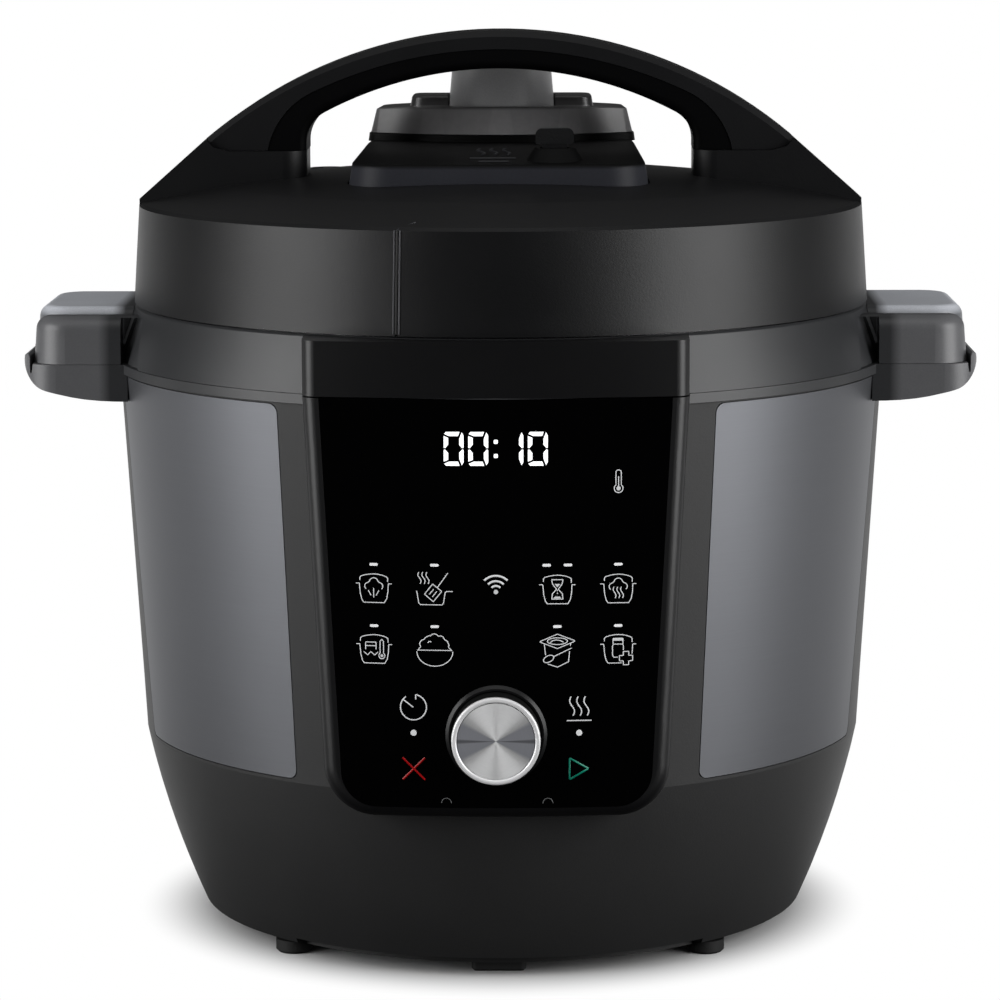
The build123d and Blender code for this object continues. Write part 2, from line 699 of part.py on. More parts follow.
with BuildPart() as upper_rim:
    for side in (-1, 1):
        add(handle_plan(side, HANDLE_X, SPLIT_Z + FIT, SPLIT_Z + HANDLE_TOP))
    fillet(upper_rim.edges().group_by(Axis.Z)[-1].filter_by(lambda e: abs(e.center().X) > HANDLE_X - 16), 5)
    for side in (-1, 1):
        # parking slot and seat for the pad
        with BuildSketch(Plane.XY.offset(SPLIT_Z + HANDLE_BLOCK)):
            with Locations((side * HANDLE_X / 2, SLOT_NEAR)):
                Rectangle(2 * HANDLE_X, 2 * HANDLE_HALF)
        extrude(amount=HANDLE_TOP, mode=Mode.SUBTRACT)
    with BuildSketch(Plane.XZ):
        with BuildLine():
            Polyline(
                (0, SPLIT_Z),
                (RIM_R - 2, SPLIT_Z),
                (SKIRT_R - 0.4, RIM_TOP),
                (0, RIM_TOP),
                close=True,
            )
        make_face()
    revolve(axis=Axis.Z, mode=Mode.SUBTRACT)
    with BuildSketch(Plane.XZ):
        with BuildLine():
            Polyline(
                (HEATER_OUT + 0.8, SPLIT_Z + FIT),
                (RIM_R, SPLIT_Z + FIT),
                (SKIRT_R - 0.2, RIM_TOP - 0.8),
                (SKIRT_R - 0.9, RIM_TOP),
                (SKIRT_IN + 0.2, RIM_TOP),
                (RIM_R - 3.0, CHANNEL_FLOOR + 0.6),
                (RIM_R - 4.0, CHANNEL_FLOOR),
                (HEATER_OUT + 2.2, CHANNEL_FLOOR),
                (HEATER_OUT + 2.2, CHANNEL_FLOOR + 0.8),
                (HEATER_OUT + 0.8, CHANNEL_FLOOR + 0.8),
                close=True,
            )
        make_face()
    revolve(axis=Axis.Z)
    # upright grooves beside the handles
    with BuildPart(mode=Mode.PRIVATE) as grooves:
        with BuildSketch(Plane.XY.offset(SPLIT_Z - 1)):
            with Locations(*GROOVE_SPOTS):
                RectangleRounded(GROOVE_WIDTH, 0.8 * HANDLE_HALF, 2)
        extrude(amount=UPPER_RIM_HEIGHT - 1.8)
        with BuildSketch(Plane.XZ):
            with BuildLine():
                Polyline(
                    (0, SPLIT_Z - 2),
                    (RIM_R - GROOVE_DEPTH, SPLIT_Z - 2),
                    (RIM_R - GROOVE_DEPTH, SPLIT_Z),
                    (SKIRT_R - GROOVE_DEPTH, RIM_TOP),
                    (0, RIM_TOP),
                    close=True,
                )
            make_face()
        revolve(axis=Axis.Z, mode=Mode.SUBTRACT)
    add(grooves.part, mode=Mode.SUBTRACT)
    with BuildSketch(Plane.XY.offset(SPLIT_Z - 1)):
        with Locations((0, DRIP_Y + 4)):
            Circle(3.2)
        with Locations(*RIM_SPOTS):
            Circle(SCREW_R + FIT)
    extrude(amount=6, mode=Mode.SUBTRACT)
write_piece(upper_rim.part, "upper_rim")

for side, name in ((-1, "left_handle_pad"), (1, "right_handle_pad")):
    with BuildPart() as handle_pad:
        with BuildSketch(Plane.XY.offset(SPLIT_Z + HANDLE_BLOCK)) as pad_plan:
            pad_near = -HANDLE_HALF + SLOT_NEAR + SLOT_WIDTH
            pad_in = RIM_R - PAD_INNER
            pad_out = HANDLE_X + PAD_OVER
            with Locations((side * (pad_in + pad_out) / 2, (pad_near + HANDLE_HALF - 1) / 2)):
                Rectangle(pad_out - pad_in, HANDLE_HALF - 1 - pad_near)
            outer = pad_plan.vertices().sort_by(Axis.X, reverse=side > 0)[0:2]
            fillet(outer, HANDLE_CORNER)
        extrude(amount=PAD_TOP - HANDLE_BLOCK, taper=HANDLE_DRAFT)
        fillet(handle_pad.edges().group_by(Axis.Z)[-1], PAD_ROUND)
        # the inner end lies against the rim
        with BuildSketch(Plane.XZ):
            with BuildLine():
                Polyline(
                    (0, SPLIT_Z),
                    (RIM_R + PAD_FIT, SPLIT_Z),
                    (SKIRT_R - 0.2 + PAD_FIT, RIM_TOP - 0.8),
                    (SKIRT_R - 0.2 + PAD_FIT, RIM_TOP + 2),
                    (0, RIM_TOP + 2),
                    close=True,
                )
            make_face()
        revolve(axis=Axis.Z, mode=Mode.SUBTRACT)
    write_piece(handle_pad.part, name)

with BuildPart() as rim_screws:
    with BuildSketch(Plane.XY.offset(SPLIT_Z - RIM_SCREW_SEAT - SCREW_HEAD)):
        with Locations(*RIM_SPOTS):
            Circle(SCREW_HEAD_R)
    extrude(amount=SCREW_HEAD)
    with BuildSketch(Plane.XY.offset(SPLIT_Z - RIM_SCREW_SEAT)):
        with Locations(*RIM_SPOTS):
            Circle(SCREW_R)
    extrude(amount=RIM_SCREW_LENGTH)
write_piece(rim_screws.part, "rim_screws")


# Control panel: header strip, bezel, glass, board, display

def bulge(radius):
    """Upright cylinder that gives the control panel its bowed front."""
    with BuildPart() as drum:
        with BuildSketch(Plane.XY):
            with Locations((0, BULGE_Y)):
                Circle(radius)
        extrude(amount=2 * RIM_TOP)
    return drum.part


def panel_layer(grow, low, high, near, far, sink):
    """Layer of the control panel between two depths behind its bowed front."""
    with BuildPart() as layer:
        add(panel_shape(grow, low, high, FRONT_Y - 5, sink))
        add(bulge(PANEL_BULGE - near), mode=Mode.INTERSECT)
        add(bulge(PANEL_BULGE - far), mode=Mode.SUBTRACT)
    return layer.part


def on_front(edge):
    """True for an edge that lies on the bowed front, away from the header top."""
    ends = [edge @ 0, edge @ 0.5, edge @ 1]
    if min(p.Z for p in ends) > HEADER_TOP - 0.01:
        return False
    return all(abs(sqrt(p.X ** 2 + (p.Y - BULGE_Y) ** 2) - PANEL_BULGE) < 0.001 for p in ends)


with BuildPart() as panel_blank:
    add(panel_shape(0, PANEL_Z, HEADER_TOP, FRONT_Y - 5))
    add(bulge(PANEL_BULGE), mode=Mode.INTERSECT)
    fillet(panel_blank.edges().filter_by(on_front), PANEL_BEVEL)
    with BuildSketch():
        Circle(PANEL_CLEAR)
    extrude(amount=2 * RIM_TOP, mode=Mode.SUBTRACT)

with BuildPart() as header_strip:
    add(panel_blank.part)
    with BuildSketch(Plane.XY.offset(HEADER_Z + HEADER_SEAM)):
        Rectangle(4 * PANEL_TOP_HALF, 4 * WALL_R)
    extrude(amount=UPPER_RIM_HEIGHT, mode=Mode.INTERSECT)
    with BuildSketch(Plane.XZ):
        with BuildLine():
            Polyline(
                (0, SPLIT_Z),
                (RIM_R + 0.2, SPLIT_Z),
                (SKIRT_R, RIM_TOP - 0.8),
                (SKIRT_R, RIM_TOP + 5),
                (0, RIM_TOP + 5),
                close=True,
            )
        make_face()
    revolve(axis=Axis.Z, mode=Mode.SUBTRACT)
write_piece(header_strip.part, "header_strip")

GLASS_SINK = FRAME_WIDTH - FRAME_LOW
CAVITY = -FRAME_WIDTH - LEDGE
CAVITY_TOP = HEADER_Z - 4.0
POST_LOW = DIAL_Z + 12
POST_HIGH = HEADER_Z - 14


def post_spots(z):
    """The two board post centres at one height."""
    x = panel_half(z) + CAVITY - 4.0
    return [(-x, z), (x, z)]


POSTS = post_spots(POST_LOW) + post_spots(POST_HIGH)

with BuildPart() as control_bezel:
    add(panel_blank.part)
    with BuildSketch(Plane.XY.offset(PANEL_Z - 1)):
        Rectangle(4 * PANEL_TOP_HALF, 4 * WALL_R)
    extrude(amount=HEADER_Z - PANEL_Z + 1, mode=Mode.INTERSECT)
    pocket = panel_layer(FIT - FRAME_WIDTH, PANEL_Z, HEADER_Z + 1, -1, GLASS_THICK + FIT, GLASS_SINK)
    add(pocket, mode=Mode.SUBTRACT)
    add(panel_shape(CAVITY, PANEL_Z, CAVITY_TOP, FRONT_Y - 5), mode=Mode.SUBTRACT)
    with BuildSketch(Plane.XZ.offset(-BOARD_Y)):
        with Locations(*POSTS):
            Circle(5)
    extrude(amount=4.5)
    with BuildSketch(Plane.XZ.offset(-BOARD_Y)):
        with Locations(*POSTS):
            Circle(SCREW_R + FIT)
    extrude(amount=4, mode=Mode.SUBTRACT)
write_piece(control_bezel.part, "control_bezel")

with BuildPart() as control_glass:
    add(panel_layer(-FRAME_WIDTH, PANEL_Z, HEADER_Z, 0, GLASS_THICK, GLASS_SINK))
    with BuildSketch(Plane.XZ.offset(-FRONT_Y + 5)):
        with Locations((0, DIAL_Z)):
            Circle(SEAT_R + FIT)
    extrude(amount=-30, mode=Mode.SUBTRACT)
write_piece(control_glass.part, "control_glass")

with BuildPart() as control_board:
    add(panel_shape(CAVITY - REST, PANEL_Z, CAVITY_TOP - REST, FRONT_Y - 5))
    with BuildSketch(Plane.XZ.offset(-BOARD_Y)):
        with Locations((0, DIAL_Z)):
            Rectangle(4 * PANEL_TOP_HALF, 4 * WALL_HEIGHT)
    extrude(amount=-BOARD_THICK, mode=Mode.INTERSECT)
    with BuildSketch(Plane.XZ.offset(-BOARD_Y)):
        with Locations(*POSTS):
            Circle(SCREW_R + FIT)
    extrude(amount=-5, mode=Mode.SUBTRACT)
write_piece(control_board.part, "control_board")

with BuildPart() as board_screws:
    with BuildSketch(Plane.XZ.offset(-BOARD_Y - BOARD_THICK)):
        with Locations(*POSTS):
            Circle(SCREW_HEAD_R)
    extrude(amount=-SCREW_HEAD)
    with BuildSketch(Plane.XZ.offset(-BOARD_Y - BOARD_THICK)):
        with Locations(*POSTS):
            Circle(SCREW_R)
    extrude(amount=BOARD_SCREW_LENGTH)
write_piece(board_screws.part, "board_screws")

with BuildPart() as display_module:
    with BuildSketch(Plane.XZ.offset(-BOARD_Y)):
        with Locations((0, CAVITY_TOP - DISPLAY_DOWN)):
            RectangleRounded(DISPLAY_WIDTH, DISPLAY_HEIGHT, 1.5)
    extrude(amount=BOARD_BACK - 2.2)
write_piece(display_module.part, "display_module")


# Dial

ENCODER_FRONT = BOARD_Y - ENCODER_DEPTH
SHAFT_TIP = DIAL_FACE + 3.0 + DIAL_TRAVEL + 0.5

with BuildPart() as encoder:
    with BuildSketch(Plane.XZ.offset(-BOARD_Y)):
        with Locations((0, DIAL_Z)):
            RectangleRounded(ENCODER_WIDTH, ENCODER_WIDTH, 1)
    extrude(amount=BOARD_Y - ENCODER_FRONT)
write_piece(encoder.part, "encoder")

with BuildPart() as encoder_shaft:
    with BuildSketch(Plane.XZ.offset(-ENCODER_FRONT + 0.1)):
        with Locations((0, DIAL_Z)):
            Circle(SHAFT_R)
    extrude(amount=ENCODER_FRONT - 0.1 - SHAFT_TIP)
write_piece(encoder_shaft.part, "encoder_shaft")

with BuildPart() as dial_seat:
    with BuildSketch(Plane.XZ.offset(-GLASS_BACK)):
        with Locations((0, DIAL_Z)):
            Circle(SEAT_R)
            Circle(DIAL_R + RUN, mode=Mode.SUBTRACT)
    extrude(amount=GLASS_THICK + 1.6)
    chamfer(dial_seat.edges().group_by(Axis.Y)[0].sort_by(SortBy.LENGTH)[-1], 1.0)
write_piece(dial_seat.part, "dial_seat")

with BuildPart() as dial_hub:
    with BuildSketch(Plane.XZ.offset(-FRONT_Y + 0.9)):
        with Locations((0, DIAL_Z)):
            Circle(DIAL_R - DIAL_TRIM - FIT)
    extrude(amount=DIAL_REACH - 0.9 - 1.2)
    with BuildSketch(Plane.XZ.offset(-FRONT_Y)):
        with Locations((0, DIAL_Z)):
            Circle(SHAFT_R + 0.06)
    extrude(amount=DIAL_REACH - 3.0, mode=Mode.SUBTRACT)
write_piece(dial_hub.part, "dial_hub")

with BuildPart() as dial_face:
    with BuildSketch(Plane.XZ.offset(-DIAL_FACE - 1.2)):
        with Locations((0, DIAL_Z)):
            Circle(DIAL_R - DIAL_TRIM - FIT)
    extrude(amount=0.8)
write_piece(dial_face.part, "dial_face")

with BuildPart() as dial_trim:
    with BuildSketch(Plane.XZ.offset(-FRONT_Y - 0.4)):
        with Locations((0, DIAL_Z)):
            Circle(DIAL_R)
            Circle(DIAL_R - DIAL_TRIM, mode=Mode.SUBTRACT)
    extrude(amount=DIAL_REACH + 0.4)
    fillet(dial_trim.edges().group_by(Axis.Y)[0], 0.7)
write_piece(dial_trim.part, "dial_trim")


# Heater pot, heating plate, sensor

def corner_mid(x, z, r, sx, sz):
    """Middle of a quarter arc rounding the corner x, z towards sx, sz."""
    return (x + sx * r * (1 - sqrt(0.5)), z + sz * r * (1 - sqrt(0.5)))


HEATER_LOW = HEATER_FLOOR - HEATER_WALL
BEND = 8.0

with BuildPart() as heater_pot:
    with BuildSketch(Plane.XZ):
        with BuildLine():
            Polyline(
                (SENSOR_R + 2, HEATER_LOW),
                (HEATER_OUT - BEND, HEATER_LOW),
                (HEATER_OUT, HEATER_LOW + BEND),
                (HEATER_OUT, HEATER_TOP),
                (HEATER_IN, HEATER_TOP),
                (HEATER_IN, HEATER_FLOOR + BEND - 0.5),
                (HEATER_IN - BEND + 0.5, HEATER_FLOOR),
                (SENSOR_R + 2, HEATER_FLOOR),
                close=True,
            )
        make_face()
    revolve(axis=Axis.Z)
    for i in range(LUG_COUNT):
        angle = -90 + i * 360 / LUG_COUNT
        add(ring_sector(HEATER_OUT - 0.5, LUG_R, LUG_Z, LUG_Z + LUG_THICK, angle, LUG_ARC))
        if i % 4 == 0:
            # stop for the lid's lug at the locked end of its turn
            add(ring_sector(HEATER_OUT - 0.5, LUG_R - 1, LID_LUG_Z + 0.6, LUG_Z + 0.5, angle - 11.3, 1.4))
write_piece(heater_pot.part, "heater_pot")

with BuildPart() as heating_plate:
    with BuildSketch(Plane.XY.offset(HEATER_FLOOR)):
        Circle(PLATE_R)
        Circle(SENSOR_R + RUN, mode=Mode.SUBTRACT)
    extrude(amount=PLATE_THICK)
    fillet(heating_plate.edges().group_by(Axis.Z)[-1].sort_by(SortBy.LENGTH)[-1], 3)
write_piece(heating_plate.part, "heating_plate")

SEAT_CUP_R = SENSOR_R + 5.0
SEAT_CUP_DEPTH = 9.0
SEAT_CUP_Z = HEATER_LOW - SEAT_CUP_DEPTH

with BuildPart() as sensor_seat:
    with BuildSketch(Plane.XY.offset(SEAT_CUP_Z)):
        Circle(SEAT_CUP_R)
    extrude(amount=SEAT_CUP_DEPTH)
    with BuildSketch(Plane.XY.offset(SEAT_CUP_Z + 1.2)):
        Circle(SEAT_CUP_R - 1.2)
    extrude(amount=SEAT_CUP_DEPTH, mode=Mode.SUBTRACT)
    with BuildSketch(Plane.XY.offset(SEAT_CUP_Z)):
        Circle(4.6)
    extrude(amount=5, mode=Mode.SUBTRACT)
write_piece(sensor_seat.part, "sensor_seat")

with BuildPart() as temperature_sensor:
    with BuildSketch(Plane.XY.offset(SENSOR_BOTTOM)):
        Circle(SENSOR_R)
    extrude(amount=SENSOR_THICK)
    with BuildSketch(Plane.XY.offset(SEAT_CUP_Z)):
        Circle(4)
    extrude(amount=SENSOR_BOTTOM - SEAT_CUP_Z)
write_piece(temperature_sensor.part, "temperature_sensor")

SPRING_LOW = SEAT_CUP_Z + 1.2 + SPRING_WIRE + 0.1
SPRING_LENGTH = SENSOR_BOTTOM - SPRING_WIRE - 0.1 - SPRING_LOW

with BuildPart() as sensor_spring:
    with BuildLine():
        coil = Helix(SPRING_LENGTH / 4, SPRING_LENGTH, SPRING_R, center=(0, 0, SPRING_LOW))
    with BuildSketch(Plane(origin=coil @ 0, z_dir=coil % 0)):
        Circle(SPRING_WIRE)
    sweep(path=coil)
write_piece(sensor_spring.part, "sensor_spring")

with BuildPart() as pressure_switch:
    with BuildSketch(Plane.XY.offset(HEATER_LOW)):
        with Locations((0, PLATE_R - 46)):
            RectangleRounded(26, 18, 2)
    extrude(amount=-8)
    with BuildSketch(Plane.XY.offset(HEATER_LOW - 8)):
        with Locations((-8, PLATE_R - 46), (8, PLATE_R - 46)):
            Rectangle(0.8, 6)
    extrude(amount=-5)
write_piece(pressure_switch.part, "pressure_switch")

with BuildPart() as pot_spacers:
    with BuildSketch(Plane.XY.offset(FOOT_HEIGHT + FLOOR_THICK)):
        with PolarLocations(SPACER_AT, 3, start_angle=90):
            Circle(SPACER_R)
    extrude(amount=HEATER_LOW - FOOT_HEIGHT - FLOOR_THICK)
write_piece(pot_spacers.part, "pot_spacers")

BOARD_Z = FOOT_HEIGHT + FLOOR_THICK + POWER_POST

with BuildPart() as power_board:
    with BuildSketch(Plane.XY.offset(BOARD_Z)):
        Rectangle(POWER_WIDTH, POWER_DEPTH)
    extrude(amount=BOARD_THICK)
    with BuildSketch(Plane.XY.offset(BOARD_Z + BOARD_THICK)):
        with Locations((-POWER_WIDTH / 2 + 18, 2)):
            Rectangle(RELAY_WIDTH, RELAY_DEPTH)
    extrude(amount=RELAY_HEIGHT)
    with BuildSketch(Plane.XY.offset(BOARD_Z + BOARD_THICK)):
        with Locations((POWER_WIDTH / 2 - 20, -POWER_DEPTH / 2 + 15)):
            Rectangle(COIL_WIDTH, COIL_DEPTH)
        with Locations((POWER_WIDTH / 2 - 16, POWER_DEPTH / 2 - 15)):
            Circle(6)
    extrude(amount=COIL_HEIGHT)
write_piece(power_board.part, "power_board")


# Power inlet and condensation cup

with BuildPart() as power_inlet:
    with BuildSketch(Plane.XZ.offset(-INLET_Y)):
        with Locations((0, INLET_Z)):
            Rectangle(INLET_WIDTH, INLET_HEIGHT)
    extrude(amount=INLET_DEPTH)
    with BuildSketch(Plane.XZ.offset(-INLET_Y)) as socket:
        with Locations((0, INLET_Z)):
            Rectangle(SOCKET_WIDTH, SOCKET_HEIGHT)
        fillet(socket.vertices().group_by(Axis.Y)[-1], 5)
        fillet(socket.vertices().group_by(Axis.Y)[0], 1)
    extrude(amount=INLET_DEPTH - 5, mode=Mode.SUBTRACT)
write_piece(power_inlet.part, "power_inlet")

with BuildPart() as inlet_pins:
    with BuildSketch(Plane.XZ.offset(-INLET_Y + INLET_DEPTH - 5)):
        with Locations((-7, INLET_Z - 4.5), (7, INLET_Z - 4.5), (0, INLET_Z - 1.5)):
            Rectangle(2, 4)
    extrude(amount=-INLET_DEPTH + 9)
write_piece(inlet_pins.part, "inlet_pins")

CUP_TOP = HOOD_Z - RUN
CUP_LOW = CUP_TOP - CUP_HEIGHT
CUP_IN_Y = WALL_R - 20

with BuildPart() as condensation_cup:
    with BuildSketch(Plane.XY.offset(CUP_LOW)) as cup_plan:
        with Locations((0, (CUP_IN_Y + REAR_Y) / 2)):
            Rectangle(2 * CUP_HALF, REAR_Y - CUP_IN_Y)
        fillet(cup_plan.vertices().group_by(Axis.Y)[-1], 6)
    extrude(amount=CUP_HEIGHT)
    with BuildSketch(Plane.XY.offset(CUP_TOP - 2.4)):
        with Locations((0, (CUP_IN_Y + REAR_Y) / 2 - 3)):
            Rectangle(2 * (CUP_HALF + CUP_FLANGE), REAR_Y - CUP_IN_Y - 6)
    extrude(amount=2.4)
    with BuildSketch(Plane.XZ):
        with BuildLine():
            Polyline(
                (0, CREASE_Z),
                (wall_radius(CREASE_Z) + 0.6, CREASE_Z),
                (WALL_R + 0.6, WALL_TOP),
                (0, WALL_TOP),
                close=True,
            )
        make_face()
    revolve(axis=Axis.Z, mode=Mode.SUBTRACT)
    # hollow, open at the top
    with BuildPart(mode=Mode.PRIVATE) as cup_hollow:
        with BuildSketch(Plane.XY.offset(CUP_LOW + CUP_WALL)) as hollow_plan:
            with Locations((0, (CUP_IN_Y + REAR_Y - CUP_WALL) / 2)):
                Rectangle(2 * (CUP_HALF - CUP_WALL), REAR_Y - CUP_WALL - CUP_IN_Y)
            fillet(hollow_plan.vertices().group_by(Axis.Y)[-1], 4)
        extrude(amount=CUP_HEIGHT)
        with BuildSketch(Plane.XZ):
            with BuildLine():
                Polyline(
                    (0, CREASE_Z),
                    (wall_radius(CREASE_Z) + 0.6 + CUP_WALL, CREASE_Z),
                    (WALL_R + 0.6 + CUP_WALL, WALL_TOP),
                    (0, WALL_TOP),
                    close=True,
                )
            make_face()
        revolve(axis=Axis.Z, mode=Mode.SUBTRACT)
    add(cup_hollow.part, mode=Mode.SUBTRACT)
write_piece(condensation_cup.part, "condensation_cup")


# Inner pot

with BuildPart() as inner_pot:
    with BuildSketch(Plane.XZ):
        with BuildLine():
            out = POT_R + POT_WALL
            low = POT_BOTTOM
            floor = POT_BOTTOM + 3 * POT_WALL
            c = POT_CORNER
            Line((0, low), (out - c, low))
            ThreePointArc((out - c, low), corner_mid(out, low, c, -1, 1), (out, low + c))
            Polyline(
                (out, low + c),
                (out, POT_TOP - POT_RIM_THICK),
                (POT_R + POT_RIM, POT_TOP - POT_RIM_THICK),
                (POT_R + POT_RIM, POT_TOP),
                (POT_R, POT_TOP),
                (POT_R, floor + c - 2),
            )
            arc_mid = corner_mid(POT_R, floor, c - 2, -1, 1)
            ThreePointArc((POT_R, floor + c - 2), arc_mid, (POT_R - c + 2, floor))
            Polyline((POT_R - c + 2, floor), (0, floor), (0, low))
        make_face()
    revolve(axis=Axis.Z)
write_piece(inner_pot.part, "inner_pot")


# Lid cover with pedestals, well and screw bosses

def console_plan(grow, z_low, z_high, taper=0):
    """Rounded plan of the valve console pushed up between two heights."""
    with BuildPart() as prism:
        with BuildSketch(Plane.XY.offset(z_low)) as plan:
            with BuildLine():
                Polyline(
                    (-CONSOLE_HALF - grow, -CONSOLE_FRONT - grow),
                    (CONSOLE_HALF + grow, -CONSOLE_FRONT - grow),
                    (CONSOLE_REAR_HALF + grow, CONSOLE_REAR + grow),
                    (-CONSOLE_REAR_HALF - grow, CONSOLE_REAR + grow),
                    close=True,
                )
            make_face()
            fillet(plan.vertices(), CONSOLE_CORNER + grow)
        extrude(amount=z_high - z_low, taper=taper)
    return prism.part


PEDESTAL_HALF = ARCH_HALF + 2.0
BOSS_SPOTS = [(sx * LID_SCREW_X, sy * LID_SCREW_Y) for sx in (-1, 1) for sy in (-1, 1)]
BOSS_RADIUS = sqrt(LID_SCREW_X ** 2 + LID_SCREW_Y ** 2)
GRIP_SCREW = (ARCH_IN + ARCH_SPLIT) / 2
COVER_SCREW = ARCH_SPLIT + 7.0
HANDLE_SPOTS = [(s * x, 0) for s in (-1, 1) for x in (GRIP_SCREW, COVER_SCREW)]
SCREW_SEAT = PEDESTAL_Z - 6.0
FLOAT_RADIUS = sqrt(FLOAT_X ** 2 + FLOAT_Y ** 2)
FLOAT_TOP = dome_height(FLOAT_RADIUS)

with BuildPart() as lid_cover:
    for side in (-1, 1):
        with BuildSketch(Plane.XZ.offset(PEDESTAL_HALF)):
            with BuildLine():
                Polyline(
                    (side * ARCH_IN, EDGE_Z + 3),
                    (side * ARCH_IN, PEDESTAL_Z),
                    (side * (ARCH_FOOT - 8), PEDESTAL_Z),
                    (side * (ARCH_FOOT - 2.6), PEDESTAL_Z + 1.4),
                    (side * ARCH_FOOT, PEDESTAL_Z + ARCH_LIP),
                    (side * (EDGE_R + 0.4), EDGE_Z),
                    (side * EDGE_R, EDGE_Z - 2),
                    close=True,
                )
            make_face()
        extrude(amount=-2 * PEDESTAL_HALF)
    inner_edges = lid_cover.edges().filter_by(Axis.Z).filter_by(lambda e: abs(e.center().X) < ARCH_IN + 1)
    fillet(inner_edges, 8)
    with BuildSketch():
        Circle(EDGE_R - 0.1)
    extrude(amount=2 * EDGE_Z, mode=Mode.INTERSECT)
    # dome and skirt
    with BuildSketch(Plane.XZ):
        with BuildLine():
            half = CREST_R / 2
            ThreePointArc((0, CROWN_Z), (half, dome_height(half)), (CREST_R, CREST_Z))
            Polyline(
                (CREST_R, CREST_Z),
                (EDGE_R - 1.2, EDGE_Z + 0.1),
                (EDGE_R, EDGE_Z - 1.0),
                (SKIRT_R, SKIRT_Z),
                (SKIRT_IN, SKIRT_Z),
                (EDGE_R - COVER_WALL, EDGE_Z - 3.5),
                (CREST_R, CREST_Z - DOME_WALL),
            )
            ThreePointArc(
                (CREST_R, CREST_Z - DOME_WALL),
                (half, dome_height(half) - DOME_WALL),
                (0, CROWN_Z - DOME_WALL),
            )
            Line((0, CROWN_Z - DOME_WALL), (0, CROWN_Z))
        make_face()
    revolve(axis=Axis.Z)
    # flat well under the console, its wall reaching up to the dome
    with BuildPart(mode=Mode.PRIVATE) as well:
        with BuildSketch(Plane.XZ):
            with BuildLine():
                ThreePointArc((0, CROWN_Z), (half, dome_height(half)), (CREST_R, CREST_Z))
                Polyline((CREST_R, CREST_Z), (CREST_R, LID_PLATE_TOP), (0, LID_PLATE_TOP), (0, CROWN_Z))
            make_face()
        revolve(axis=Axis.Z)
        add(console_plan(CONSOLE_DRAFT + DOME_WALL, WELL_Z - DOME_WALL, CROWN_Z), mode=Mode.INTERSECT)
    add(well.part)
    add(console_plan(CONSOLE_DRAFT + FIT, WELL_Z, CROWN_Z + 20), mode=Mode.SUBTRACT)
    # screw bosses and the collar round the float valve
    with BuildSketch(Plane.XY.offset(LID_PLATE_TOP)):
        with Locations(*BOSS_SPOTS):
            Circle(5)
    extrude(amount=dome_height(BOSS_RADIUS) - 1.1 - LID_PLATE_TOP)
    with BuildSketch(Plane.XY.offset(FLOAT_TOP - 3)):
        with Locations((FLOAT_X, FLOAT_Y)):
            Circle(FLOAT_R + 4)
    extrude(amount=3)
    # holes
    with BuildSketch(Plane.XY.offset(LID_PLATE_TOP)):
        with Locations(*BOSS_SPOTS):
            Circle(SCREW_R + FIT)
    extrude(amount=14, mode=Mode.SUBTRACT)
    with BuildSketch(Plane.XY.offset(EDGE_Z - 20)):
        with Locations((FLOAT_X, FLOAT_Y)):
            Circle(FLOAT_R + 0.6)
        with Locations((0, VENT_Y)):
            Circle(PIPE_R + 0.6)
        with Locations(*HANDLE_SPOTS):
            Circle(SCREW_R + FIT)
    extrude(amount=60, mode=Mode.SUBTRACT)
    with BuildSketch(Plane.XY.offset(EDGE_Z - 20)):
        with Locations(*HANDLE_SPOTS):
            Circle(SCREW_HEAD_R + 0.3)
    extrude(amount=SCREW_SEAT - EDGE_Z + 20, mode=Mode.SUBTRACT)
    # seam and tick at the front of the skirt
    seam_az = -90 - SEAM_TURN
    seam = ring_sector(SKIRT_R - 1.6, SKIRT_R + 5, SKIRT_Z - 1, EDGE_Z - SEAM_DROP, seam_az, SEAM_ARC)
    add(seam, mode=Mode.SUBTRACT)
write_piece(lid_cover.part, "lid_cover")


# Steel lid plate, sealing ring and rack

with BuildPart() as steel_lid:
    with BuildSketch(Plane.XZ):
        with BuildLine():
            Polyline(
                (0, LID_PLATE_Z),
                (STEEL_IN - 2, LID_PLATE_Z),
                (STEEL_IN, LID_PLATE_Z - 2),
                (STEEL_IN, LID_LUG_Z),
                (STEEL_OUT, LID_LUG_Z),
                (STEEL_OUT, LID_PLATE_Z - 1.4),
                (STEEL_OUT - 2.4, LID_PLATE_TOP),
                (0, LID_PLATE_TOP),
                close=True,
            )
        make_face()
    revolve(axis=Axis.Z)
    for i in range(LUG_COUNT):
        angle = -90 + (i + 0.5) * 360 / LUG_COUNT
        add(ring_sector(LID_LUG_IN, STEEL_IN + 0.5, LID_LUG_Z, LID_LUG_Z + LUG_THICK, angle, LUG_ARC))
    with BuildSketch(Plane.XY.offset(LID_PLATE_Z)):
        with Locations((FLOAT_X, FLOAT_Y)):
            Circle(FLOAT_R + RUN)
        with Locations((0, VENT_Y)):
            Circle(PIPE_R + FIT)
        with Locations(*BOSS_SPOTS):
            Circle(SCREW_R + FIT)
    extrude(amount=5, mode=Mode.SUBTRACT)
write_piece(steel_lid.part, "steel_lid")

with BuildPart() as lid_screws:
    with BuildSketch(Plane.XY.offset(LID_PLATE_Z)):
        with Locations(*BOSS_SPOTS):
            Circle(SCREW_HEAD_R)
    extrude(amount=-SCREW_HEAD)
    with BuildSketch(Plane.XY.offset(LID_PLATE_Z)):
        with Locations(*BOSS_SPOTS):
            Circle(SCREW_R)
    extrude(amount=LID_SCREW_LENGTH)
write_piece(lid_screws.part, "lid_screws")

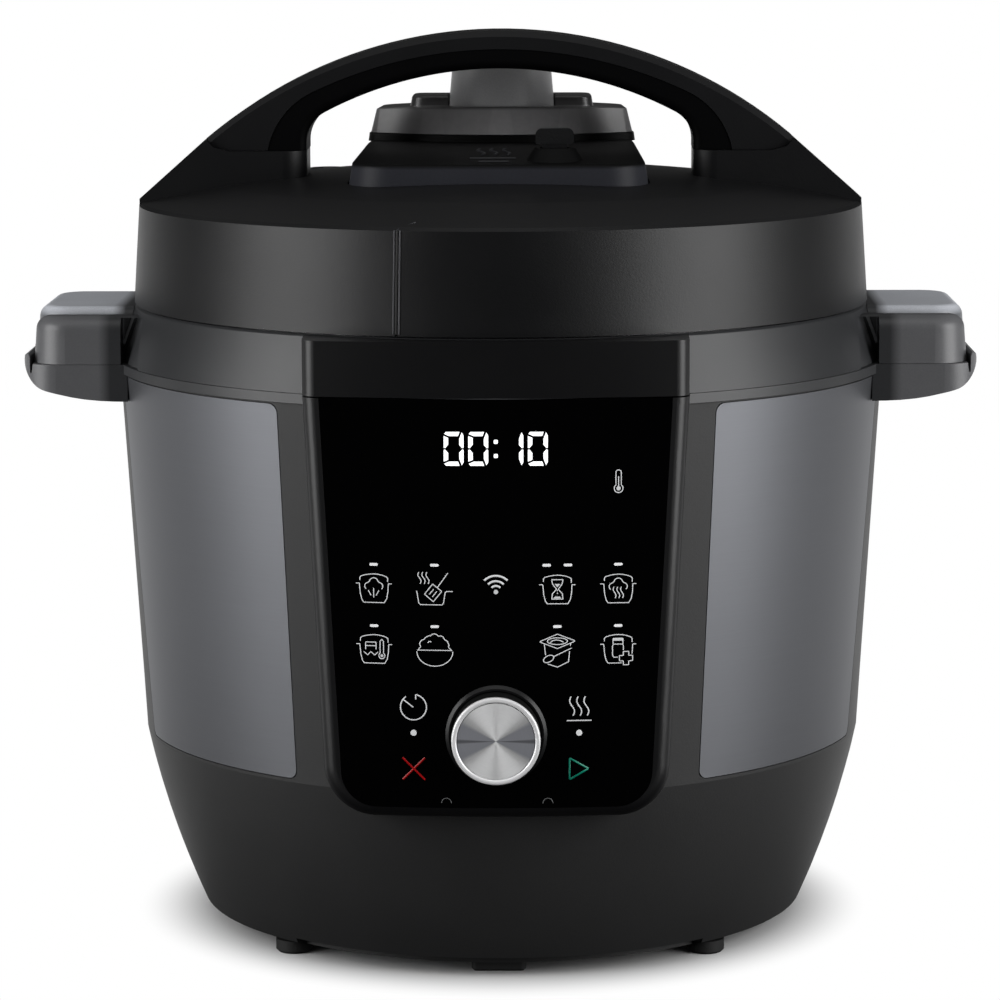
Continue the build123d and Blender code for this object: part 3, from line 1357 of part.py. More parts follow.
SEAL_LOW = POT_TOP + SEAL_GAP
SEAL_TOP = SEAL_LOW + SEAL_HEIGHT
SEAL_IN = POT_R - 2.0
SEAL_OUT = STEEL_IN - 1.2
RACK_Z = (SEAL_LOW + SEAL_TOP) / 2
RACK_WIRE = 1.25

with BuildPart() as sealing_ring:
    with BuildSketch(Plane.XZ):
        with BuildLine():
            Polyline(
                (SEAL_IN + 3.5, SEAL_LOW),
                (SEAL_OUT - 3.0, SEAL_LOW),
                (SEAL_OUT, SEAL_LOW + 4),
                (SEAL_OUT, SEAL_TOP - 2.5),
                (SEAL_OUT - 2.5, SEAL_TOP),
                (SEAL_IN + 1.5, SEAL_TOP),
                (SEAL_IN, SEAL_TOP - 1.5),
                (SEAL_IN, SEAL_LOW + 2.5),
                close=True,
            )
        make_face()
        with Locations((SEAL_IN, RACK_Z)):
            Circle(RACK_WIRE + 0.5, mode=Mode.SUBTRACT)
    revolve(axis=Axis.Z)
write_piece(sealing_ring.part, "sealing_ring")

with BuildPart() as ring_rack:
    with BuildSketch(Plane.XZ):
        with Locations((SEAL_IN, RACK_Z)):
            Circle(RACK_WIRE)
    revolve(axis=Axis.Z)
    with BuildSketch(Plane.XY.offset(RACK_Z)):
        with PolarLocations(SEAL_IN - 1.6, 4, start_angle=45):
            Circle(1.0)
    extrude(amount=LID_PLATE_Z - RACK_Z)
write_piece(ring_rack.part, "ring_rack")


# Steam path: pipe, nut, shield, weight, float valve

PIPE_TOP = CONSOLE_TOP + PIPE_UP
NUT_HEIGHT = 5.0
SHIELD_R = 15.0
SHIELD_HEIGHT = 10.0

with BuildPart() as vent_pipe:
    with BuildSketch(Plane.XY.offset(LID_PLATE_Z - NUT_HEIGHT - 1)):
        with Locations((0, VENT_Y)):
            Circle(PIPE_R)
    extrude(amount=PIPE_TOP - LID_PLATE_Z + NUT_HEIGHT + 1)
    with BuildSketch(Plane.XY.offset(LID_PLATE_TOP)):
        with Locations((0, VENT_Y)):
            Circle(PIPE_R + 4)
    extrude(amount=2.5)
    with BuildSketch(Plane.XY.offset(LID_PLATE_Z - NUT_HEIGHT - 1)):
        with Locations((0, VENT_Y)):
            Circle(PIPE_BORE)
    extrude(amount=100, mode=Mode.SUBTRACT)
write_piece(vent_pipe.part, "vent_pipe")

with BuildPart() as pipe_nut:
    with BuildSketch(Plane.XY.offset(LID_PLATE_Z)):
        with Locations((0, VENT_Y)):
            RegularPolygon(8, 6)
            Circle(PIPE_R + 0.05, mode=Mode.SUBTRACT)
    extrude(amount=-NUT_HEIGHT)
write_piece(pipe_nut.part, "pipe_nut")

with BuildPart() as steam_shield:
    with BuildSketch(Plane.XY.offset(LID_PLATE_Z - SHIELD_HEIGHT)):
        with Locations((0, VENT_Y)):
            Circle(SHIELD_R)
    extrude(amount=SHIELD_HEIGHT)
    with BuildSketch(Plane.XY.offset(LID_PLATE_Z - SHIELD_HEIGHT + 1)):
        with Locations((0, VENT_Y)):
            Circle(SHIELD_R - 1)
    extrude(amount=SHIELD_HEIGHT, mode=Mode.SUBTRACT)
    with BuildSketch(Plane.XY.offset(LID_PLATE_Z - SHIELD_HEIGHT)):
        with Locations((0, VENT_Y)):
            with PolarLocations(8.5, 8):
                SlotOverall(6, 2, rotation=90)
    extrude(amount=2, mode=Mode.SUBTRACT)
write_piece(steam_shield.part, "steam_shield")

LINK_Z = WELL_Z + REST
LINK_TOP = LINK_Z + LINK_THICK
RAMP_HALF = 5.0
RAMP_RISE = 2 * RAMP_HALF * LINK_SLOPE
FLANGE_Z = LINK_TOP + RAMP_RISE + 4.0
WEIGHT_SEAT = PIPE_TOP + REST
PRONG_IN = PIPE_R + 1.2
PRONG_OUT = PRONG_IN + 5.8

with BuildPart() as steam_weight:
    with BuildSketch(Plane.XY.offset(FLANGE_Z)):
        with Locations((0, VENT_Y)):
            Circle(WEIGHT_R)
    extrude(amount=WEIGHT_SEAT + WEIGHT_HEIGHT - FLANGE_Z)
    fillet(steam_weight.edges().group_by(Axis.Z)[-1], 2)
    with BuildSketch(Plane.XY.offset(FLANGE_Z)):
        with Locations((0, VENT_Y)):
            Circle(PRONG_OUT)
    extrude(amount=2)
    # feet with sloped undersides over the ramps
    for side in (-1, 1):
        with BuildSketch(Plane.YZ.offset(side * (PRONG_IN + PRONG_OUT) / 2 - 2)):
            with BuildLine():
                Polyline(
                    (VENT_Y - 3, LINK_TOP + REST + LINK_SLOPE * (RAMP_HALF - 3)),
                    (VENT_Y + 3, LINK_TOP + REST + LINK_SLOPE * (RAMP_HALF + 3)),
                    (VENT_Y + 3, FLANGE_Z + 1),
                    (VENT_Y - 3, FLANGE_Z + 1),
                    close=True,
                )
            make_face()
        extrude(amount=4)
    with BuildSketch(Plane.XY.offset(LINK_Z)):
        with Locations((0, VENT_Y)):
            Circle(PIPE_R + RUN)
    extrude(amount=WEIGHT_SEAT - LINK_Z, mode=Mode.SUBTRACT)
write_piece(steam_weight.part, "steam_weight")

SWITCH_Z = LINK_Z + LINK_THICK / 2 + LINK_ARM

with BuildPart() as release_link:
    with BuildSketch(Plane.XY.offset(LINK_Z)):
        with Locations((SWITCH_X, (SWITCH_Y - 6 + VENT_Y - 14) / 2)):
            Rectangle(11, VENT_Y - 14 - SWITCH_Y + 6)
        with Locations(((SWITCH_X + 5.5 - PRONG_OUT) / 2, VENT_Y - 18)):
            Rectangle(SWITCH_X + 5.5 + PRONG_OUT, 10)
        with Locations((0, VENT_Y - 4)):
            Rectangle(2 * PRONG_OUT, 22)
        with Locations((0, VENT_Y + 2)):
            Rectangle(2 * PRONG_IN, 24, mode=Mode.SUBTRACT)
        with Locations((SWITCH_X, SWITCH_Y)):
            Rectangle(5, 3.2, mode=Mode.SUBTRACT)
    extrude(amount=LINK_THICK)
    for side in (-1, 1):
        with BuildSketch(Plane.YZ.offset(side * (PRONG_IN + PRONG_OUT) / 2 - 2.4)):
            with BuildLine():
                Polyline(
                    (VENT_Y - RAMP_HALF, LINK_TOP),
                    (VENT_Y + RAMP_HALF, LINK_TOP),
                    (VENT_Y + RAMP_HALF, LINK_TOP + RAMP_RISE),
                    close=True,
                )
            make_face()
        extrude(amount=4.8)
write_piece(release_link.part, "release_link")

FLOAT_HEAD_Z = LID_PLATE_Z - FLOAT_TRAVEL - 5.0

with BuildPart() as float_pin:
    with BuildSketch(Plane.XY.offset(FLOAT_HEAD_Z)):
        with Locations((FLOAT_X, FLOAT_Y)):
            Circle(6.5)
    extrude(amount=2.5)
    with BuildSketch(Plane.XY.offset(FLOAT_HEAD_Z)):
        with Locations((FLOAT_X, FLOAT_Y)):
            Circle(FLOAT_R)
    extrude(amount=FLOAT_TOP - FLOAT_HEAD_Z)
    fillet(float_pin.edges().group_by(Axis.Z)[-1], 0.8)
write_piece(float_pin.part, "float_pin")

with BuildPart() as float_seal:
    with BuildSketch(Plane.XY.offset(FLOAT_HEAD_Z + 2.5)):
        with Locations((FLOAT_X, FLOAT_Y)):
            Circle(6)
            Circle(FLOAT_R + 0.05, mode=Mode.SUBTRACT)
    extrude(amount=2)
write_piece(float_seal.part, "float_seal")


# Valve console, quick release switch

STEAM_Z = DECK_Z + REST
STEAM_TOP = STEAM_Z + STEAM_HEIGHT
STEAM_BOW = 18.0
STEAM_REAR = CONSOLE_REAR - 1.0


def steam_plan(shrink, z_low, height, taper):
    """Bowed plan of the steam cover pushed up from a height."""
    half = STEAM_HALF - shrink
    front = COVER_FRONT + shrink
    rear = STEAM_REAR - max(shrink, 0)
    with BuildPart() as prism:
        with BuildSketch(Plane.XY.offset(z_low)) as plan:
            with BuildLine():
                ThreePointArc((-half, front + STEAM_BOW), (0, front), (half, front + STEAM_BOW))
                Polyline(
                    (half, front + STEAM_BOW),
                    (half - 2, rear),
                    (-half + 2, rear),
                    (-half, front + STEAM_BOW),
                )
            make_face()
            fillet(plan.vertices(), 6 - shrink)
        extrude(amount=height, taper=taper)
    return prism.part


def console_height(y):
    """Height of the console's top at y."""
    if y > COVER_FRONT:
        return CONSOLE_TOP
    return CONSOLE_LIP_Z + (CONSOLE_TOP - CONSOLE_LIP_Z) * (y + CONSOLE_FRONT) / (COVER_FRONT + CONSOLE_FRONT)


def console_roof(drop):
    """Everything under the console's sloping roof, lowered by a wall thickness."""
    with BuildPart() as roof:
        with BuildSketch(Plane.YZ.offset(-2 * CONSOLE_HALF)):
            with BuildLine():
                Polyline(
                    (-2 * CONSOLE_FRONT, 0),
                    (-2 * CONSOLE_FRONT, console_height(-2 * CONSOLE_FRONT) - drop),
                    (COVER_FRONT, CONSOLE_TOP - drop),
                    (2 * CONSOLE_REAR, CONSOLE_TOP - drop),
                    (2 * CONSOLE_REAR, 0),
                    close=True,
                )
            make_face()
        extrude(amount=4 * CONSOLE_HALF)
    return roof.part


BOSS_Z = console_height(SWITCH_Y)
BOSS_TOP = SWITCH_Z + SWITCH_TALL - 1.4
CONSOLE_LEAN = degrees(atan2(CONSOLE_DRAFT, CONSOLE_LIP))

with BuildPart() as valve_console:
    with BuildPart(mode=Mode.PRIVATE) as console_inside:
        add(console_plan(-CONSOLE_WALL, WELL_Z - 1, CONSOLE_TOP + 5))
        add(console_roof(CONSOLE_WALL), mode=Mode.INTERSECT)
    add(console_plan(CONSOLE_DRAFT, WELL_Z, CONSOLE_TOP + 5, CONSOLE_LEAN))
    add(console_roof(0), mode=Mode.INTERSECT)
    front_edges = valve_console.edges().filter_by(lambda e: e.center().Z > CONSOLE_LIP_Z - 1)
    fillet(front_edges, 1.2)
    add(console_inside.part, mode=Mode.SUBTRACT)
    # cone round the switch, and the ribs that carry its pin
    with Locations((SWITCH_X, SWITCH_Y, (BOSS_Z - 1 + BOSS_TOP) / 2)):
        Cone(BOSS_R, BOSS_TOP_R, BOSS_TOP - BOSS_Z + 1)
    for offset_x in (-8.0, 8.0):
        with BuildSketch(Plane.YZ.offset(SWITCH_X + offset_x - 1.5)):
            with Locations((SWITCH_Y, (SWITCH_Z - 3 + BOSS_Z - 1) / 2)):
                Rectangle(8, BOSS_Z - 1 - SWITCH_Z + 3)
        extrude(amount=3)
    with BuildSketch(Plane.XY.offset(SWITCH_Z - 3)):
        with Locations((SWITCH_X, SWITCH_Y + 0.9)):
            RectangleRounded(10, 8.2, 1)
    extrude(amount=20, mode=Mode.SUBTRACT)
    with BuildSketch(Plane.YZ.offset(SWITCH_X - 12)):
        with Locations((SWITCH_Y, SWITCH_Z)):
            Circle(SWITCH_PIN_R + 0.05)
    extrude(amount=24, mode=Mode.SUBTRACT)
    # raised seat and opening for the steam weight
    add(steam_plan(-1.0, CONSOLE_TOP - 0.5, DECK_HEIGHT + 0.5, 8))
    with BuildSketch(Plane.XY.offset(CONSOLE_TOP - CONSOLE_WALL - 2)):
        with Locations((0, VENT_Y)):
            Circle(PRONG_OUT + 1.5)
    extrude(amount=10, mode=Mode.SUBTRACT)
write_piece(valve_console.part, "valve_console")

with BuildPart() as switch_pin:
    with BuildSketch(Plane.YZ.offset(SWITCH_X - 9.4)):
        with Locations((SWITCH_Y, SWITCH_Z)):
            Circle(SWITCH_PIN_R)
    extrude(amount=18.8)
write_piece(switch_pin.part, "switch_pin")

PADDLE_LOW = SWITCH_Z + SWITCH_TALL

with BuildPart() as release_switch:
    with BuildSketch(Plane.YZ.offset(SWITCH_X - 4.2)):
        with Locations((SWITCH_Y, SWITCH_Z)):
            Circle(2.5)
        with Locations((SWITCH_Y, (SWITCH_Z + PADDLE_LOW) / 2)):
            Rectangle(SWITCH_THICK - 0.8, PADDLE_LOW - SWITCH_Z)
    extrude(amount=8.4)
    with BuildSketch(Plane.YZ.offset(SWITCH_X - 2)):
        with Locations((SWITCH_Y, SWITCH_Z - LINK_ARM / 2)):
            Rectangle(2.2, LINK_ARM)
        with Locations((SWITCH_Y, SWITCH_Z - LINK_ARM)):
            Circle(1.1)
    extrude(amount=4)
    with BuildSketch(Plane.XZ.offset(-SWITCH_Y + SWITCH_THICK / 2)) as paddle:
        with Locations((SWITCH_X, PADDLE_LOW + PADDLE_HEIGHT / 2)):
            Rectangle(SWITCH_WIDTH, PADDLE_HEIGHT)
        fillet(paddle.vertices().group_by(Axis.Y)[-1], 2.2)
        fillet(paddle.vertices().group_by(Axis.Y)[0], 0.6)
    extrude(amount=-SWITCH_THICK)
    with BuildSketch(Plane.YZ.offset(SWITCH_X - 10)):
        with Locations((SWITCH_Y, SWITCH_Z)):
            Circle(SWITCH_PIN_R + 0.06)
    extrude(amount=20, mode=Mode.SUBTRACT)
write_piece(release_switch.part, "release_switch")


# Steam cover and its chimney

CEILING = STEAM_TOP - STEAM_CROWN - STEAM_WALL
CROWN_R = (STEAM_HALF ** 2 + STEAM_CROWN ** 2) / (2 * STEAM_CROWN)
CHIMNEY_LOW = CEILING - CHIMNEY_FLANGE
CHIMNEY_TOP = STEAM_TOP + CHIMNEY_HEIGHT
CHIMNEY_Y = VENT_Y + CHIMNEY_BACK

with BuildPart() as steam_cover:
    add(steam_plan(0, STEAM_Z, STEAM_HEIGHT, 14))
    with BuildSketch(Plane.XZ):
        with Locations((0, STEAM_TOP - CROWN_R)):
            Circle(CROWN_R)
    extrude(amount=-2 * STEAM_REAR, mode=Mode.INTERSECT)
    with BuildSketch(Plane.XY.offset(STEAM_TOP - 1.5)):
        with Locations((0, VENT_Y + STEAM_STEP_BACK)):
            RectangleRounded(2 * STEAM_STEP_HALF, STEAM_STEP_DEPTH, 6)
    extrude(amount=STEAM_STEP + 1.5, taper=10)
    fillet(steam_cover.edges().group_by(Axis.Z)[-1], STEAM_STEP_ROUND)
    add(steam_plan(STEAM_WALL, STEAM_Z - 1, CEILING - STEAM_Z + 1, 14), mode=Mode.SUBTRACT)
    with BuildSketch(Plane.XY.offset(CEILING - 1)):
        with Locations((0, CHIMNEY_Y)):
            Circle(CHIMNEY_R + FIT)
    extrude(amount=CHIMNEY_HEIGHT, mode=Mode.SUBTRACT)
    # ribs under the roof
    with BuildSketch(Plane.XY.offset(STEAM_Z + 3)):
        for x in (-34, -27, 27, 34):
            with Locations((x, VENT_Y + 12)):
                Rectangle(1.2, 26)
    extrude(amount=CEILING - STEAM_Z - 2)
write_piece(steam_cover.part, "steam_cover")

with BuildPart() as steam_chimney:
    with Locations((0, CHIMNEY_Y, (CHIMNEY_LOW + CHIMNEY_TOP) / 2)):
        Cone(CHIMNEY_R, CHIMNEY_TOP_R, CHIMNEY_TOP - CHIMNEY_LOW)
    with BuildSketch(Plane.XY.offset(CHIMNEY_LOW)):
        with Locations((0, CHIMNEY_Y)):
            with PolarLocations(CHIMNEY_R, 3, start_angle=0, angular_range=180, endpoint=True):
                Rectangle(3.2, 8)
    extrude(amount=CHIMNEY_FLANGE)
    with Locations((0, CHIMNEY_Y, (CHIMNEY_LOW + CHIMNEY_TOP) / 2)):
        bore = CHIMNEY_R - CHIMNEY_WALL
        Cone(bore, CHIMNEY_TOP_R - CHIMNEY_WALL, CHIMNEY_TOP - CHIMNEY_LOW + 0.1, mode=Mode.SUBTRACT)
write_piece(steam_chimney.part, "steam_chimney")


# Arch handle

SPLIT_TOP = ARCH_TOP - ARCH_THICK + GRIP_THICK
GRIP_LOW = ARCH_TOP - ARCH_THICK


def arch_region(half, top, drop, round_r):
    """Upright region under an arch with rounded shoulders, across the whole depth."""
    radius = (half ** 2 + drop ** 2) / (2 * drop)
    with BuildPart() as region:
        with BuildSketch(Plane.XZ.offset(2 * ARCH_HALF)) as outline:
            with Locations((0, top - radius)):
                Circle(radius)
            with Locations((0, top - ARCH_RISE)):
                Rectangle(2 * half, 3 * ARCH_RISE, mode=Mode.INTERSECT)
            fillet(outline.vertices().group_by(Axis.Y)[-1], round_r)
        extrude(amount=-4 * ARCH_HALF)
    return region.part


LEG_Z = PEDESTAL_Z + FIT

with BuildPart() as arch_cover:
    with BuildSketch(Plane.XZ.offset(ARCH_HALF)):
        with BuildLine():
            ThreePointArc((-ARCH_FOOT, LEG_Z + ARCH_LIP), (0, ARCH_TOP), (ARCH_FOOT, LEG_Z + ARCH_LIP))
            Polyline(
                (ARCH_FOOT, LEG_Z + ARCH_LIP),
                (ARCH_FOOT - 2.6, LEG_Z + 1.4),
                (ARCH_FOOT - 8, LEG_Z),
                (-ARCH_FOOT + 8, LEG_Z),
                (-ARCH_FOOT + 2.6, LEG_Z + 1.4),
                (-ARCH_FOOT, LEG_Z + ARCH_LIP),
            )
        make_face()
    extrude(amount=-2 * ARCH_HALF)
    crest = arch_cover.edges().filter_by(lambda e: (e @ 0.5).Z > ARCH_TOP - 1)
    chamfer(crest, ARCH_BEVEL)
    add(arch_region(ARCH_SPLIT + FIT, SPLIT_TOP + FIT, SPLIT_DROP, SPLIT_ROUND), mode=Mode.SUBTRACT)
    with BuildSketch(Plane.XY.offset(LEG_Z)):
        with Locations((-COVER_SCREW, 0), (COVER_SCREW, 0)):
            Circle(SCREW_R + FIT)
    extrude(amount=8.5, mode=Mode.SUBTRACT)
write_piece(arch_cover.part, "arch_cover")

with BuildPart() as arch_grip:
    add(arch_region(ARCH_SPLIT, SPLIT_TOP, SPLIT_DROP, SPLIT_ROUND))
    add(arch_region(ARCH_IN, GRIP_LOW, GRIP_DROP, GRIP_ROUND), mode=Mode.SUBTRACT)
    with BuildSketch(Plane.XZ.offset(ARCH_HALF - 0.3)):
        with Locations((0, LEG_Z + 2 * ARCH_RISE)):
            Rectangle(4 * ARCH_FOOT, 4 * ARCH_RISE)
    extrude(amount=-2 * ARCH_HALF + 0.6, mode=Mode.INTERSECT)
    faces_y = ARCH_HALF - 0.3
    under = arch_grip.edges().filter_by(lambda e: abs(abs((e @ 0.5).Y) - faces_y) < 0.01)
    under = under.filter_by(lambda e: LEG_Z + 1 < (e @ 0.5).Z < GRIP_LOW + 0.1)
    fillet(under.filter_by(lambda e: abs((e @ 0.5).X) < ARCH_IN + 1), 3)
    with BuildSketch(Plane.XY.offset(LEG_Z)):
        with Locations((-GRIP_SCREW, 0), (GRIP_SCREW, 0)):
            Circle(SCREW_R + FIT)
    extrude(amount=8.5, mode=Mode.SUBTRACT)
write_piece(arch_grip.part, "arch_grip")

with BuildPart() as handle_screws:
    with BuildSketch(Plane.XY.offset(SCREW_SEAT - SCREW_HEAD)):
        with Locations(*HANDLE_SPOTS):
            Circle(SCREW_HEAD_R)
    extrude(amount=SCREW_HEAD)
    with BuildSketch(Plane.XY.offset(SCREW_SEAT)):
        with Locations(*HANDLE_SPOTS):
            Circle(SCREW_R)
    extrude(amount=HANDLE_SCREW_LENGTH)
write_piece(handle_screws.part, "handle_screws")
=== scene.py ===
import math

import bpy
from mathutils import Matrix, Vector


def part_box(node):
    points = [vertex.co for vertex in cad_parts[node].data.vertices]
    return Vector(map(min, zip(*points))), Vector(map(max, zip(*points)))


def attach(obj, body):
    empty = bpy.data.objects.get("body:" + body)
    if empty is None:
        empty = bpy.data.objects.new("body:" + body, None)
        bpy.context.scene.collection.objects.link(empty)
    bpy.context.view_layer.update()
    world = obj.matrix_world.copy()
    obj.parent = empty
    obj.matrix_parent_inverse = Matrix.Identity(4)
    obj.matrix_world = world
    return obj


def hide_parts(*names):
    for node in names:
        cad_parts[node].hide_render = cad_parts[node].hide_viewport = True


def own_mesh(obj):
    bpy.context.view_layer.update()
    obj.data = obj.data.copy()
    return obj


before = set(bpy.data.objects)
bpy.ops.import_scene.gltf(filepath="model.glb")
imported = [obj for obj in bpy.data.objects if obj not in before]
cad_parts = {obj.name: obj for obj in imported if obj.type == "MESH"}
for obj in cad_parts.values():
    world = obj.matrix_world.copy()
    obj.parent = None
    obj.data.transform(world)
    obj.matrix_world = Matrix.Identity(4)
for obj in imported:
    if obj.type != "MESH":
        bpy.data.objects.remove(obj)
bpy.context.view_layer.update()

bl_info = {
    "name": "Electric pressure cooker",
    "version": (1, 0, 0),
    "blender": (4, 5, 0),
    "location": "3D View > Sidebar > Cooker",
    "description": "Finishes, panel prints, screws and studio for the packed pressure cooker",
    "category": "Object",
}

MM = 0.001
FULL_TURN = 2 * math.pi
WHITE = (1, 1, 1, 1)

# Finishes, in metres: relief of the bumps, and the ranges in which a tone changes, most of them by painted light and
# shade
PLASTIC_RELIEF = 0.0002
METAL_RELIEF = 0.00005
FINE = 0.7                               # finer grain, times the setting
COARSE = 1.4                             # coarser grain, times the setting
# The handles' lighter tone is painted light.
HANDLE_LIGHT_START = (0.1335, 0.1375)          # from the rim's tone to the handles', across
# The pads' tone changes by painted shade towards the rim and down their edges.
PAD_SHADE_START = (0.1300, 0.1345)             # from dark to light, across
PAD_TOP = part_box("left_handle_pad")[1].z
PAD_EDGE = (PAD_TOP - 0.0035, PAD_TOP - 0.0006)
PAD_INNER_SHADE, PAD_EDGE_SHADE = 0.05, 0.22
TRIM_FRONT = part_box("dial_trim")[0].y
TRIM_SIDE = (TRIM_FRONT + 0.0011, TRIM_FRONT + 0.0014)
TRIM_SIDE_GAIN = 0.012
DIAL_LOW, DIAL_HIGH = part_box("dial_face")
DIAL_CENTRE = (DIAL_LOW + DIAL_HIGH) / 2
# The dial face's wedges and line are a painted reflection.
REFLECTION_TINT = (0.66, 0.67, 0.73)
REFLECTION_EDGE = (0.84, 0.90)                # share of the reach that lies across
WEDGE_LINE = (0.9975, 0.9998)
REFLECTION_LINE_GAIN = 0.45
COVER_LOW, COVER_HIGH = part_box("steam_cover")
# The cover's front and the ribs behind it get painted light.
COVER_EDGE_Z = COVER_HIGH.z - 0.0035
COVER_EDGE_SOFT = 0.0012
COVER_FRONT = 0.022                      # depth of the lit front
COVER_PAINTED_LIGHT = 4.4
RIB_PAINTED_LIGHT = 0.8
RIB_PITCH = 0.0245
RIB_LOW, RIB_TOP = 0.0045, 0.0031        # half widths
RIB_HEIGHT = 0.009
RIB_SOFT = 0.0004
RIB_REACH = 1.4                          # ribs end here, times the pitch

# The valve console's sloping top, in metres
CONSOLE_LIP_Z = 0.2674
CONSOLE_FRONT = 0.058
CONSOLE_SLOPE = 3.0 / 74.5
# Between these heights the console's tone changes from painted light on the front to painted shade on the top.
CONSOLE_EDGE = (CONSOLE_LIP_Z - 0.0016, CONSOLE_LIP_Z - 0.0004)
CONSOLE_PAINTED_GAIN = (9.0, 0.2)                # front and top
MARK_WIDTH = 0.0008

# The lid's skirt and the joint in it, in metres
SKIRT_R, SKIRT_Z = 0.1282, 0.2172
SKIRT_TOP_R, SKIRT_TOP_Z = 0.1260, 0.2518
SEAM_TURN = math.radians(14.4)
SEAM_HALF = math.radians(0.42)
SEAM_EDGE_WIDTH, SEAM_GAP_WIDTH = 0.0005, 0.0006
# The tick is a painted highlight on the top of the lid.
TICK_OUT, TICK_IN = 0.1257, 0.1190
TICK_LEAN = 0.87
OVER_LID_Z = 0.30

# The joint between the arch's cover and grip, in millimetres
JOINT_HALF = 80.775
JOINT_R = 150.38
JOINT_TOP_Z = 304.175
JOINT_ROUND = 28.0
JOINT_FOOT_Z = 270.2
TONGUE_WIDTH = 0.0005                    # metres

# Fasteners and the sensor
SCREW_DEGREES = 22.5                     # first screw of a ring

# Stage, in metres
CAMERA_ROLL = -0.18                      # degrees
LAMP_AIM = Vector((0, 0, 0.15))
LAMPS = {                                # place, width and height
    "top": ((0.0, -0.55, 1.35), 1.3, 0.9),
    "left": ((-1.20, -0.60, 0.40), 0.9, 1.1),
    "right": ((1.20, -0.62, 0.40), 0.9, 1.1),
}
SKY_START, SKY_LEVEL = (0.28, 0.65), (0.025, 0.17)
BEHIND_START, BELOW_END = (0.35, 1.0), (0.0, 0.05)
FLOOR_NEAR, FLOOR_FAR, FLOOR_SIDE = -0.24, 1.5, 1.5
FLOOR_FADE = (0.097, 0.131)              # from shadow to white, from the pot axis
FLOOR_MIRROR = (-0.15, 0.75)             # share of the reach that lies towards the back
FLOOR_BOUNCE, FLOOR_LEVEL = (-0.75, 0.1), (0.04, 0.50)


# Settings that a user would change

def number(name, description, default, **limits):
    """A number setting."""
    return bpy.props.FloatProperty(name=name, description=description, default=default, **limits)


def distance(name, description, default):
    """A length setting in metres."""
    return number(name, description, default, unit="LENGTH", min=0.0, precision=5)


def share(name, description, default):
    """A setting between nothing and full."""
    return number(name, description, default, subtype="FACTOR", min=0.0, max=1.0)


def power(name, description, default):
    """A lamp's power in watts."""
    return number(name, description, default, unit="POWER", min=0.0)


def colour(name, description, default):
    """A colour setting."""
    return bpy.props.FloatVectorProperty(
        name=name, description=description, subtype="COLOR", size=3, min=0.0, max=1.0, default=default
    )


class CookerPlastics(bpy.types.PropertyGroup):
    """Colours and grain of the moulded pieces."""

    bowl: colour("Bowl", "Lower housing and other dark mouldings", (0.0225, 0.0226, 0.0229))
    lid: colour("Lid", "Lid, console and arch handle", (0.0026, 0.0027, 0.0033))
    grip: colour("Grip", "Inner grip of the arch handle", (0.0010, 0.0010, 0.0012))
    # The chimney's tint is lighter than its dark grey moulding: painted light that makes up for the shade under the
    # arch.
    chimney: colour("Chimney", "Steam chimney", (0.30, 0.30, 0.305))
    rim: colour("Rim", "Rim ring round the body", (0.027, 0.028, 0.030))
    # The side handles are moulded in the rim's plastic; this lighter tone is painted light on them.
    handle: colour("Side handles", "Side handles at both ends of the rim", (0.125, 0.126, 0.132))
    # The pad tint is that of their tops, kept light as painted light; their edges and inner ends get painted shade.
    pad: colour("Handle pads", "Pads on the side handles", (0.680, 0.703, 0.755))
    gloss: colour("Gloss black", "Header strip and panel frame", (0.003, 0.003, 0.0035))
    glass: colour("Touch panel", "Black glass of the control panel", (0.0006, 0.0006, 0.0007))
    smoke: colour("Smoky cover", "Translucent steam cover", (0.055, 0.054, 0.055))
    grain: distance("Grain size", "Size of the moulded surface grain", 0.0007)
    mottle: share("Mottle", "Slow change of tone over a moulding", 0.10)


class CookerMetals(bpy.types.PropertyGroup):
    """Colours and brush marks of the metal pieces."""

    panel: colour("Dark steel", "Wrap panels of the body", (0.158, 0.162, 0.174))
    steel: colour("Bright steel", "Pot, heater and lid plate", (0.56, 0.56, 0.57))
    trim: colour("Dial ring", "Polished ring of the dial", (0.97, 0.97, 0.98))
    face: colour("Dial face", "Spun face of the dial", (0.93, 0.935, 0.94))
    cast: colour("Cast aluminium", "Heating plate and sensor", (0.50, 0.50, 0.51))
    zinc: colour("Zinc", "Screws, shaft and spacers", (0.43, 0.43, 0.44))
    brass: colour("Brass", "Pins of the power inlet", (0.62, 0.48, 0.22))
    line: distance("Brush line", "Spacing of the brush marks", 0.00035)


class CookerPrints(bpy.types.PropertyGroup):
    """Strokes and colours of the panel prints."""

    stroke: distance("Stroke", "Width of the icon lines", 0.00027)
    thick: distance("Print thickness", "Height of a print over and under the glass surface", 0.00008)
    bow: distance("Bow", "Radius of the panel's bowed front", 0.320)
    icon: colour("Icons", "Lines of the programme icons", (0.62, 0.63, 0.64))
    lit: colour("Display", "Lit digits and level bars", (0.95, 0.96, 0.97))
    cancel: colour("Cancel cross", "Cross left of the dial", (0.28, 0.001, 0.002))
    start: colour("Start triangle", "Triangle right of the dial", (0.003, 0.185, 0.120))
    hours: bpy.props.StringProperty(name="Digits", description="Four digits of the display", default="0010")


class CookerFasteners(bpy.types.PropertyGroup):
    """Sizes of the cross-recess screws and the sensor's spring."""

    head: distance("Head radius", "Radius of a screw head", 0.0034)
    rise: distance("Head height", "Height of a screw head", 0.0022)
    shank: distance("Shank radius", "Radius of a screw shank", 0.0018)
    recess: distance("Recess depth", "Depth of the cross recess", 0.0011)
    wire: distance("Spring wire", "Radius of the sensor spring's wire", 0.0008)
    turns: number("Spring turns", "Turns of the sensor spring", 4.0, min=1.0)


